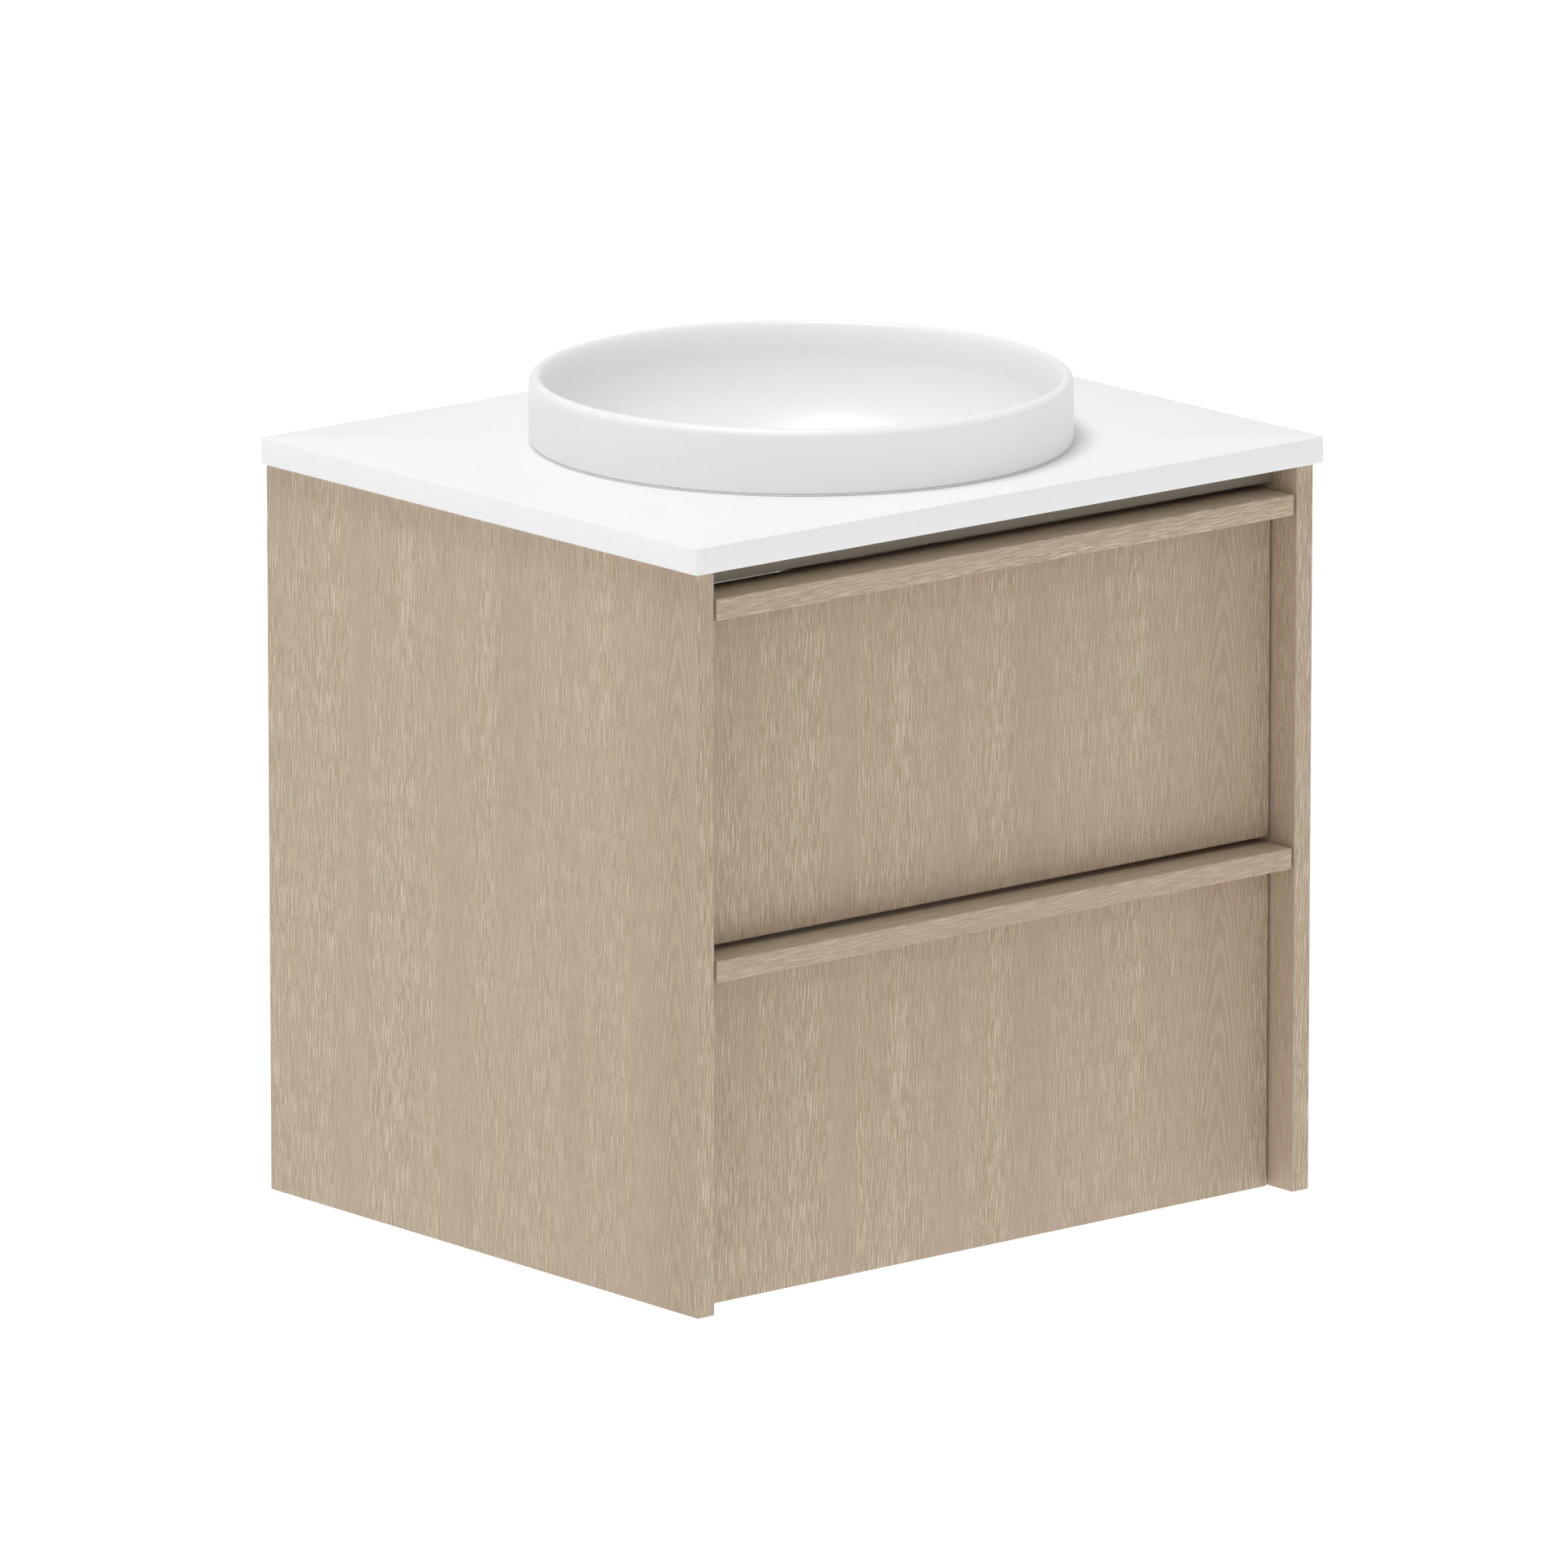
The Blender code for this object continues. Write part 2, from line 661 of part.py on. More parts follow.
def make_outlet(group):
    """The slip nut, tube and wall flange of the outlet, turned about a line towards the wall."""
    at = (0, BASIN_Y, OUTLET_Z)
    branch_end = BRANCH_END + FIT
    nut_bore = BRANCH_RADIUS + FIT
    nut_outer = nut_bore + SLIP_NUT_WALL
    nut = [
        (nut_outer, branch_end + SLIP_NUT_HEIGHT / 2),
        (nut_outer, branch_end - SLIP_NUT_HEIGHT / 3),
        (nut_bore, branch_end - SLIP_NUT_HEIGHT / 3),
        (nut_bore, branch_end),
        (LOOSE, branch_end),
        (LOOSE, branch_end + SLIP_NUT_HEIGHT / 2),
    ]
    turned("trap_outlet_nut", nut, at, "chrome", group, "Y")
    tube = tube_profile(PIPE_RADIUS, PIPE_BORE, BRANCH_END - OUTLET_OVERLAP, -BASIN_Y)
    turned("trap_outlet_tube", tube, at, "chrome", group, "Y")
    flange = [
        (WALL_FLANGE_RADIUS, -BASIN_Y),
        (WALL_FLANGE_RADIUS, -BASIN_Y - PIPE_WALL),
        (LOOSE + 2 * PIPE_WALL, -BASIN_Y - WALL_FLANGE_DEPTH),
        (LOOSE, -BASIN_Y - WALL_FLANGE_DEPTH),
        (LOOSE, -BASIN_Y),
    ]
    turned("wall_flange", flange, at, "chrome", group, "Y")


# ---- Drawers ------------------------------------------------------------------------------------
def make_front(deck, top, group):
    """The handle rail along the top, flush with the cabinet's edges, and the panel under it."""
    across = (-FRONT_HALF, FRONT_HALF)
    rail_low = top - HANDLE_RAIL_THICKNESS
    board(
        f"{deck}_handle_rail",
        across,
        (CARCASS_FRONT, FACE_BACK),
        (rail_low, top),
        "oak_veneer",
        group,
    )
    board(
        f"{deck}_drawer_front",
        across,
        (FACE_Y, FACE_BACK),
        (top - FRONT_HEIGHT, rail_low - FIT),
        "oak_veneer",
        group,
    )


def make_box(deck, low, high, group):
    """The box's sides and inner front. Its base sits above the sides' lower edges."""
    for word, side in sides():
        board(
            f"{deck}_box_side_{word}",
            span(side, BOX_INNER, BOX_HALF),
            (BOX_START, BOX_END),
            (low, high),
            "white_board",
            group,
        )
    board(
        f"{deck}_box_front",
        (FIT - BOX_INNER, BOX_INNER - FIT),
        (BOX_START, BOX_FRONT_BACK),
        (low, high),
        "white_board",
        group,
    )


def base_levels(low):
    return low + BOX_BASE_LIFT, low + BOX_BASE_LIFT + BOX_BASE


def make_lower_inside(low, high, group):
    half = BOX_INNER - FIT
    base_low, base_top = base_levels(low)
    board(
        "lower_box_base",
        (-half, half),
        (BOX_FRONT_BACK + FIT, BOX_END),
        (base_low, base_top),
        "white_board",
        group,
    )
    board(
        "lower_box_back",
        (-half, half),
        (BOX_END - BOX_BOARD, BOX_END),
        (base_top + FIT, high),
        "white_board",
        group,
    )


def make_upper_inside(low, high, group):
    """The upper box goes round the trap: its base has a bay that is open at the back."""
    half = BOX_INNER - FIT
    base_low, base_top = base_levels(low)
    front = BOX_FRONT_BACK + FIT
    bay = RECESS_HALF_WIDTH
    outline = [
        (-half, front),
        (half, front),
        (half, BOX_END),
        (bay, BOX_END),
        (bay, RECESS_FRONT),
        (-bay, RECESS_FRONT),
        (-bay, BOX_END),
        (-half, BOX_END),
    ]
    plate("upper_box_base", [outline], (base_low, base_top), "white_board", group)
    standing = (base_top + FIT, high)
    wall_outer = bay + RECESS_BOARD
    for word, side in sides():
        board(
            f"upper_recess_side_{word}",
            span(side, bay, wall_outer),
            (RECESS_FRONT, BOX_END),
            standing,
            "white_board",
            group,
        )
        board(
            f"upper_box_back_{word}",
            span(side, wall_outer + FIT, half),
            (BOX_END - BOX_BOARD, BOX_END),
            standing,
            "white_board",
            group,
        )
    board(
        "upper_recess_front",
        (-wall_outer, wall_outer),
        (RECESS_FRONT - FIT - RECESS_BOARD, RECESS_FRONT - FIT),
        standing,
        "white_board",
        group,
    )


# ---- Runners and clips ----------------------------------------------------------------------------
RUNNER_Y = (BOX_FRONT_BACK + SLIDE_GAP, BOX_END)
UPSTAND_INNER = OPENING_HALF - RUNNER_WIDTH
UPSTAND_OUTER = UPSTAND_INNER + STEEL


def mirrored(outline, side):
    return [(side * x, z) for x, z in outline]


def fixed_section(low):
    """Against the cabinet side, under the box side, and up again inside the box side."""
    wall = OPENING_HALF - FIT
    return [
        (wall, low),
        (wall, low + RUNNER_WALL_FLANGE),
        (wall - STEEL, low + RUNNER_WALL_FLANGE),
        (wall - STEEL, low + STEEL),
        (UPSTAND_OUTER, low + STEEL),
        (UPSTAND_OUTER, low + RUNNER_UPSTAND),
        (UPSTAND_INNER, low + RUNNER_UPSTAND),
        (UPSTAND_INNER, low),
    ]


def drawer_section(low, base_low):
    """A cap over the middle section, under the drawer's base."""
    inner, outer = UPSTAND_OUTER + SLIDE_GAP, BOX_INNER - 2 * SLIDE_GAP
    top = base_low - FIT
    skirt = low + RUNNER_DROP
    return [
        (inner, skirt),
        (inner, top),
        (outer, top),
        (outer, skirt),
        (outer - STEEL, skirt),
        (outer - STEEL, top - STEEL),
        (inner + STEEL, top - STEEL),
        (inner + STEEL, skirt),
    ]


def middle_section(low, base_low):
    """A C that is open below, inside the cap."""
    inner = UPSTAND_OUTER + STEEL + 2 * SLIDE_GAP
    outer = BOX_INNER - STEEL - 3 * SLIDE_GAP
    top = base_low - FIT - STEEL - SLIDE_GAP
    bottom = low + STEEL + SLIDE_GAP
    slot = (inner + outer) / 2
    return [
        (slot - MIDDLE_SLOT / 2, bottom),
        (inner, bottom),
        (inner, top),
        (outer, top),
        (outer, bottom),
        (slot + MIDDLE_SLOT / 2, bottom),
        (slot + MIDDLE_SLOT / 2, bottom + STEEL),
        (outer - STEEL, bottom + STEEL),
        (outer - STEEL, top - STEEL),
        (inner + STEEL, top - STEEL),
        (inner + STEEL, bottom + STEEL),
        (slot - MIDDLE_SLOT / 2, bottom + STEEL),
    ]


def make_runners(deck, box_low, cabinet, middles, drawer):
    low = box_low - RUNNER_DROP
    base_low = base_levels(box_low)[0]
    start, end = RUNNER_Y
    middle_end = start + MIDDLE_SHARE * (end - start)
    for word, side in sides():
        for kind, outline, y, group in (
            ("fixed", fixed_section(low), (start, end), cabinet),
            ("middle", middle_section(low, base_low), (start, middle_end), middles),
            ("drawer", drawer_section(low, base_low), (start, end - 2 * STEEL), drawer),
        ):
            outline_here = mirrored(outline, side)
            section_along_y(f"{deck}_runner_{kind}_{word}", outline_here, y, "steel", group)


def lock_places(box_low):
    """Where each clip's block and lever lie, as distances from the middle and levels."""
    outer = UPSTAND_INNER - LEVER_GAP / 3
    inner = outer - LOCK_WIDTH
    lever_outer = inner - LEVER_GAP
    top = base_levels(box_low)[0] - FIT
    lever_top = top - LOCK_EAR - SLIDE_GAP
    pivot_y = RUNNER_Y[0] + LEVER_LENGTH - LEVER_WIDTH / 2
    return outer, inner, lever_outer, top, lever_top, pivot_y


def make_locks(deck, box_low, drawer, levers):
    """A clip behind the box front that grips each runner, and the lever that frees it."""
    outer, inner, lever_outer, top, lever_top, pivot_y = lock_places(box_low)
    block_low = box_low + LOCK_LIFT
    start = RUNNER_Y[0]
    pivot_x = lever_outer - LEVER_WIDTH / 2
    for word, side in sides():
        block = board(
            f"{deck}_lock_{word}",
            span(side, inner, outer),
            (start, start + LOCK_LENGTH),
            (block_low, top),
            "plastic",
            drawer,
        )
        ear_size = (inner + LOCK_WIDTH / 3 - pivot_x + LEVER_WIDTH / 2, LEVER_WIDTH, LOCK_EAR)
        ear_x = side * (inner + LOCK_WIDTH / 3 - ear_size[0] / 2)
        ear = box_helper(f"{deck}_ear_{word}", ear_size, (ear_x, pivot_y, top - LOCK_EAR / 2))
        combine(block, ear, "UNION")
        pin_length = LOCK_EAR / 2 + SLIDE_GAP + LEVER_THICKNESS
        pin_at = (side * pivot_x, pivot_y, top - LOCK_EAR / 2 - pin_length / 2)
        pin = cylinder_helper(
            f"{deck}_pin_{word}", PIVOT_RADIUS, pin_length, pin_at, steps=HOLE_STEPS
        )
        combine(block, pin, "UNION")

        lever = lever_outlines(lever_outer, pivot_x, pivot_y, start)
        lever = [mirrored(outline, side) for outline in lever]
        z = (lever_top - LEVER_THICKNESS, lever_top)
        group = levers[word]
        curve = outline_curve(f"{deck}_lock_lever_{word}", lever, z[1] - z[0])
        at = (0, 0, (z[0] + z[1]) / 2)
        add_part(f"{deck}_lock_lever_{word}", curve, at, "plastic", group)


def lever_outlines(lever_outer, pivot_x, pivot_y, start):
    """A bar with a round eye at its pivot and a wider finger tab at the front."""
    radius = LEVER_WIDTH / 2
    eye = [
        (pivot_x + radius * math.cos(a), pivot_y + radius * math.sin(a))
        for a in np.linspace(0, math.pi, HOLE_STEPS // 2 + 1)
    ]
    inner = lever_outer - LEVER_WIDTH
    bar = [
        *eye,
        (inner, start + LEVER_TAB_LENGTH),
        (inner - LEVER_TAB_WIDTH, start + LEVER_TAB_LENGTH - LEVER_TAB_WIDTH / 3),
        (inner - LEVER_TAB_WIDTH, start + LEVER_TAB_SETBACK),
        (lever_outer, start + LEVER_TAB_SETBACK),
    ]
    hole = [
        (
            pivot_x + (PIVOT_RADIUS + PIVOT_CLEARANCE) * math.cos(a),
            pivot_y + (PIVOT_RADIUS + PIVOT_CLEARANCE) * math.sin(a),
        )
        for a in np.linspace(0, 2 * math.pi, HOLE_STEPS, endpoint=False)
    ]
    return [bar, hole]


def make_drawer(deck, top, box_high, cabinet):
    box_low = top - FRONT_HEIGHT + BOX_LIFT
    drawer = owner(f"{deck}_drawer", (0, CARCASS_FRONT, top))
    middles = owner(f"{deck}_runner_middles", (0, RUNNER_Y[0], box_low))
    _, _, lever_outer, _, lever_top, pivot_y = lock_places(box_low)
    pivot_x = lever_outer - LEVER_WIDTH / 2
    levers = {
        word: owner(f"{deck}_lever_pivot_{word}", (side * pivot_x, pivot_y, lever_top))
        for word, side in sides()
    }
    make_front(deck, top, drawer)
    make_box(deck, box_low, box_high, drawer)
    if deck == "upper":
        make_upper_inside(box_low, box_high, drawer)
    else:
        make_lower_inside(box_low, box_high, drawer)
    make_runners(deck, box_low, cabinet, middles, drawer)
    make_locks(deck, box_low, drawer, levers)


def main():
    cabinet = owner("cabinet", (0, 0, 0))
    plug = owner("plug", (0, BASIN_Y, FLANGE_TOP))
    make_carcass(cabinet)
    make_benchtop(cabinet)
    make_basin(cabinet)
    make_waste(cabinet)
    make_plug(plug)
    make_trap(cabinet)
    make_drawer("upper", UPPER_TOP, BOWL_UNDERSIDE - BOX_UNDER_BOWL, cabinet)
    lower_box_high = LOWER_TOP - HANDLE_RAIL_THICKNESS - BOX_UNDER_RAIL
    make_drawer("lower", LOWER_TOP, lower_box_high, cabinet)


main()
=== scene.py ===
"""The looks of a wall-hung oak vanity: a white slab top with a round semi-inset basin, two drawers
with full-width handle rails, and the waste, trap, drawer boxes and runners behind them."""

import json
import math

import bpy
import numpy as np
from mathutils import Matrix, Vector


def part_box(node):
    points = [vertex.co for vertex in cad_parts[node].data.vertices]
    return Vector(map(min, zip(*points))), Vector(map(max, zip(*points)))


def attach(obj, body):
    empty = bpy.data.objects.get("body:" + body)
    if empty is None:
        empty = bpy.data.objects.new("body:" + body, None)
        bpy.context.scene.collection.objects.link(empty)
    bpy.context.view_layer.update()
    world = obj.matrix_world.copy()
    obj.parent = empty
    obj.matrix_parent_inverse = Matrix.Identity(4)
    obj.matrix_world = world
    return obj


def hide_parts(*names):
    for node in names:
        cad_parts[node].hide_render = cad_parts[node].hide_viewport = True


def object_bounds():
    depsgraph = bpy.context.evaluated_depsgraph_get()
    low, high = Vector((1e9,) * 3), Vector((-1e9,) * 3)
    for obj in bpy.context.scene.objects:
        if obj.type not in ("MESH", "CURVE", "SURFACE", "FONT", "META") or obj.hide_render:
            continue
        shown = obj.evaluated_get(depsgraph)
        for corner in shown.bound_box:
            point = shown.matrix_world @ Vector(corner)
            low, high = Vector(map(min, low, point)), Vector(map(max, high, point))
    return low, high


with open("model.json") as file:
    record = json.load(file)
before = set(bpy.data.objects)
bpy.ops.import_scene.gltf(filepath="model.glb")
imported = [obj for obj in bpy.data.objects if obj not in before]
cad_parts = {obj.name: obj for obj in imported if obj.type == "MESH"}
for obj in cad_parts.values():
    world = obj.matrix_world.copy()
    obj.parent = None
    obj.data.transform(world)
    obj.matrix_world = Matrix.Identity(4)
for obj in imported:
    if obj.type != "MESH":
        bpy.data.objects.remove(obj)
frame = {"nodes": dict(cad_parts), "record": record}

bl_info = {
    "name": "Oak Vanity Looks",
    "version": (1, 0, 0),
    "blender": (4, 5, 0),
    "location": "View3D > Sidebar > Vanity",
    "description": "Builds the finished surfaces of a wall-hung oak vanity round its frame",
    "category": "Object",
}

CAD_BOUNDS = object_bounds()
GRAIN_MAP = "grain"
TOWARDS_WALL, UP = 1, 2
MM = 0.001

# ---- Camera ----
LENS = 425.9
SENSOR = 36.0
CAMERA_AZIMUTH = -40.05
CAMERA_ELEVATION = 13.116
CAMERA_DISTANCE = 13.677
CAMERA_TARGET = (-0.0014, -0.2421, -0.1926)

# ---- Stage ----
FLOOR_DROP = 0.40
FLOOR_RADIUS = 60.0
FLOOR_THICKNESS = 0.02
FLOOR_GREY = (0.50,) * 3
FLOOR_GLOW = 0.72
WORLD_STRENGTH = 0.60
KEY_PLACE = (-1.3, -0.2, 5.5)
KEY_AIM = (0.0, -0.25, -0.2)
KEY_DIAMETER = 2.6
KEY_WATTS = 165.0

# ---- Which board is which ----
# node: (grain axis, shift of the figure across, shift of the figure along)
OAK_BOARDS = {
    "cabinet_side_left": (2, 0.000, -0.030),
    "cabinet_side_right": (2, 0.060, 0.110),
    "upper_drawer_front": (2, -0.033, 0.000),
    "lower_drawer_front": (2, -0.031, -0.006),
    "upper_handle_rail": (0, 0.255, 0.000),
    "lower_handle_rail": (0, 0.300, 0.170),
}
WHITE_BOARDS = (
    "cabinet_base", "lower_back_rail",
    "upper_box_side_left", "upper_box_side_right", "upper_box_front",
    "upper_recess_side_left", "upper_recess_side_right", "upper_recess_front",
    "upper_box_back_left", "upper_box_back_right",
    "lower_box_side_left", "lower_box_side_right", "lower_box_front",
    "lower_box_base", "lower_box_back",
)
DECKS = ("upper", "lower")
CORNERS = [(deck, hand) for deck in DECKS for hand in ("left", "right")]


# ---- Properties ----
def length(name, description, default):
    return bpy.props.FloatProperty(
        name=name, description=description, default=default, min=0.0, max=1.0,
        precision=5, subtype="DISTANCE", unit="LENGTH",
    )


def colour(name, description, default):
    return bpy.props.FloatVectorProperty(
        name=name, description=description, default=default, min=0.0, max=1.0, size=3,
        subtype="COLOR",
    )


def share(name, description, default):
    return bpy.props.FloatProperty(
        name=name, description=description, default=default, min=0.0, max=1.0, subtype="FACTOR"
    )


class VanitySizes(bpy.types.PropertyGroup):
    board_edge: length("Board edge", "Radius of the eased edges of the veneered boards", 0.0008)
    white_edge: length("White board edge", "Radius of the eased edges of the inner boards", 0.0005)
    top_edge: length("Top edge", "Radius of the eased edges of the slab top", 0.0012)
    rim_thickness: length("Rim", "Thickness of the basin's round rim", 0.012)
    rim_roll: length("Rim roll", "Height over which the rim rolls into the bowl", 0.024)
    basin_wall: length("Basin wall", "Thickness of the bowl's wall", 0.011)
    bowl_depth: length("Bowl depth", "Depth of the bowl from the rim to the seat", 0.113)
    waste_seat: length("Waste seat", "Radius of the flat seat round the waste", 0.034)
    drain_hole: length("Drain hole", "Radius of the hole through the bowl", 0.0225)
    foot_fillet: length("Foot fillet", "Radius at the foot of the basin's wall", 0.0015)
    sheet_bend: length("Sheet bend", "Bend radius of the runners' folded steel", 0.0012)
    screw_head: length("Screw head", "Radius of a screw's pan head", 0.0038)
    cap_radius: length("Cover cap", "Radius of a cap over a sunk fastener", 0.0065)
    bowl_power: bpy.props.FloatProperty(
        name="Bowl fullness",
        description="Power of the superellipse that the bowl's section follows",
        default=2.4, min=2.0, max=4.0,
    )
    turn_steps: bpy.props.IntProperty(
        name="Turned steps", description="Sides of a small turned piece",
        default=96, min=24, max=256,
    )


class VanityFinishes(bpy.types.PropertyGroup):
    oak_warm: colour("Oak, warm", "The pinker bands of the limed veneer", (0.516, 0.395, 0.297))
    oak_cool: colour("Oak, cool", "The greener bands of the limed veneer", (0.455, 0.365, 0.241))
    oak_lime: colour("Liming", "White pigment left in the open pores", (0.690, 0.581, 0.449))
    oak_fibre: colour("Fibre", "The darker fibres between the pores", (0.349, 0.266, 0.184))
    solid_surface: colour("Slab", "The solid surface of the top", (0.880, 0.880, 0.880))
    ceramic: colour("Ceramic", "The basin's satin glaze", (0.860, 0.860, 0.860))
    # The front rail is a plain taupe board, with painted shade on top: its colour is darkened
    # further to stand for the deep shade of the recess under the slab
    rail_board: colour("Front rail", "The plain board under the slab", (0.268, 0.232, 0.180))
    white_board: colour("White board", "The melamine of the inner boards", (0.780, 0.775, 0.760))
    chrome: colour("Chrome", "The plated waste and trap", (0.780, 0.790, 0.800))
    steel: colour("Steel", "The zinc-plated runners", (0.560, 0.570, 0.580))
    plastic: colour("Plastic", "The clips, levers and guide", (0.200, 0.205, 0.210))
    rubber: colour("Rubber", "The seals", (0.030, 0.030, 0.030))
    sealant: colour("Sealant", "The bead under the basin", (0.820, 0.820, 0.805))
    liming_amount: share("Liming amount", "How strongly the pigment shows", 0.80)
    oak_roughness: share("Oak roughness", "Roughness of the lacquered veneer", 0.56)


def sizes():
    return bpy.context.scene.vanity_sizes


def finishes():
    return bpy.context.scene.vanity_finishes


# ---- Node graphs ----
class Graph:
    """A material's nodes. Its methods add a node, feed it and return its output."""

    def __init__(self, name, colour_value, roughness, metallic=0.0):
        self.material = bpy.data.materials.new(name)
        self.material.use_nodes = True
        self.nodes = self.material.node_tree.nodes
        self.links = self.material.node_tree.links
        self.shader = self.nodes["Principled BSDF"]
        self.shader.inputs["Base Color"].default_value = (*colour_value, 1.0)
        self.shader.inputs["Roughness"].default_value = roughness
        self.shader.inputs["Metallic"].default_value = metallic
        self.material.diffuse_color = (*colour_value, 1.0)

    def feed(self, socket, value):
        if isinstance(value, bpy.types.NodeSocket):
            self.links.new(value, socket)
        elif hasattr(socket.default_value, "__len__") and len(socket.default_value) == 4:
            socket.default_value = (*value, 1.0)
        else:
            socket.default_value = value

    def math(self, operation, *values):
        node = self.nodes.new("ShaderNodeMath")
        node.operation = operation
        for socket, value in zip(node.inputs, values):
            self.feed(socket, value)
        return node.outputs[0]

    def plus(self, first, second):
        return self.math("ADD", first, second)

    def minus(self, first, second):
        return self.math("SUBTRACT", first, second)

    def times(self, first, second):
        return self.math("MULTIPLY", first, second)

    def object_point(self):
        return self.nodes.new("ShaderNodeTexCoord").outputs["Object"]

    def map_point(self, name):
        node = self.nodes.new("ShaderNodeUVMap")
        node.uv_map = name
        return node.outputs["UV"]

    def noise(self, point, scale, detail=2.0, roughness=0.5):
        """Noise with a scale for each direction, in periods a metre."""
        stretch = self.nodes.new("ShaderNodeMapping")
        self.feed(stretch.inputs["Vector"], point)
        stretch.inputs["Scale"].default_value = scale
        node = self.nodes.new("ShaderNodeTexNoise")
        node.inputs["Scale"].default_value = 1.0
        node.inputs["Detail"].default_value = detail
        node.inputs["Roughness"].default_value = roughness
        self.feed(node.inputs["Vector"], stretch.outputs["Vector"])
        return node.outputs["Fac"]

    def ramp(self, value, low, high, to_low=0.0, to_high=1.0):
        """A smooth step from to_low to to_high while the value goes from low to high."""
        node = self.nodes.new("ShaderNodeMapRange")
        node.interpolation_type = "SMOOTHSTEP"
        for name, number in (
            ("From Min", low), ("From Max", high), ("To Min", to_low), ("To Max", to_high),
        ):
            node.inputs[name].default_value = number
        self.feed(node.inputs["Value"], value)
        return node.outputs["Result"]

    def blend(self, factor, first, second):
        node = self.nodes.new("ShaderNodeMix")
        node.data_type = "RGBA"
        self.feed(node.inputs["Factor"], factor)
        self.feed(node.inputs["A"], first)
        self.feed(node.inputs["B"], second)
        return node.outputs["Result"]

    def bump(self, height, strength, distance):
        node = self.nodes.new("ShaderNodeBump")
        node.inputs["Strength"].default_value = strength
        node.inputs["Distance"].default_value = distance
        self.feed(node.inputs["Height"], height)
        self.links.new(node.outputs["Normal"], self.shader.inputs["Normal"])

    def finish(self, tone, roughness):
        self.feed(self.shader.inputs["Base Color"], tone)
        self.feed(self.shader.inputs["Roughness"], roughness)
        return self.material


# ---- Materials ----
FIGURE_CENTRE = 0.470
FIGURE_ROUNDNESS = 0.012
FIGURE_STEEPNESS = 1.6
FIGURE_SLOPE = 0.17
FIGURE_REACH = 0.034
RING_SPACING = 0.0050
PALE_STREAK = (0.163, -0.085)
PALE_STREAK_SIZE = (0.0065, 0.034)
# Noise scales, in periods a metre across the grain, along it and (unused) through it
BEND_SCALE = (5.0, 2.6, 1.0)
RIPPLE_SCALE = (110.0, 30.0, 1.0)
FRAY_SCALE = (60.0, 9.0, 1.0)
BAND_SCALE = (22.0, 0.8, 1.0)
SHADE_SCALE = (75.0, 3.5, 1.0)
FIBRE_SCALE = (1100.0, 24.0, 1.0)
LONG_PORE_SCALE = (850.0, 38.0, 1.0)
SHORT_PORE_SCALE = (1450.0, 84.0, 1.0)


def oak_rings(graph, across, along, point):
    """The growth rings, 0 to 1: a sine of level, where level = steepness * sqrt(aside^2 +
    roundness^2) + slope * along. Its level lines are arches about the figure's centre line and
    nearly straight beside it. Slow noise bends them and fine noise ripples them."""
    bend = graph.times(graph.noise(point, BEND_SCALE), 0.016)
    aside = graph.plus(graph.minus(across, FIGURE_CENTRE + 0.008), bend)
    squared = graph.times(aside, aside)
    away = graph.math("SQRT", graph.plus(squared, FIGURE_ROUNDNESS**2))
    arch = graph.times(away, FIGURE_STEEPNESS)
    slope = graph.times(along, FIGURE_SLOPE)
    ripple = graph.times(graph.noise(point, RIPPLE_SCALE), 0.0044)
    level = graph.plus(graph.plus(arch, slope), ripple)
    wave = graph.math("SINE", graph.times(level, 2 * math.pi / RING_SPACING))
    return graph.ramp(wave, -0.8, 0.8)


def figure_share(graph, across):
    """1 on the figure's centre line, falling as a bell to 0 beside it."""
    aside = graph.math("DIVIDE", graph.minus(across, FIGURE_CENTRE), FIGURE_REACH)
    return graph.math("EXPONENT", graph.times(graph.times(aside, aside), -1.0))


def pale_streak(graph, across, along, point):
    """A soft pale fleck: a bell across the grain times a longer bell along it, frayed by noise."""
    offset = graph.times(graph.noise(point, FRAY_SCALE), 0.012)
    u = graph.minus(graph.plus(across, offset), PALE_STREAK[0] + 0.006)
    v = graph.minus(along, PALE_STREAK[1])
    u, v = (graph.math("DIVIDE", value, size) for value, size in zip((u, v), PALE_STREAK_SIZE))
    total = graph.plus(graph.times(u, u), graph.times(v, v))
    return graph.math("EXPONENT", graph.times(total, -1.0))


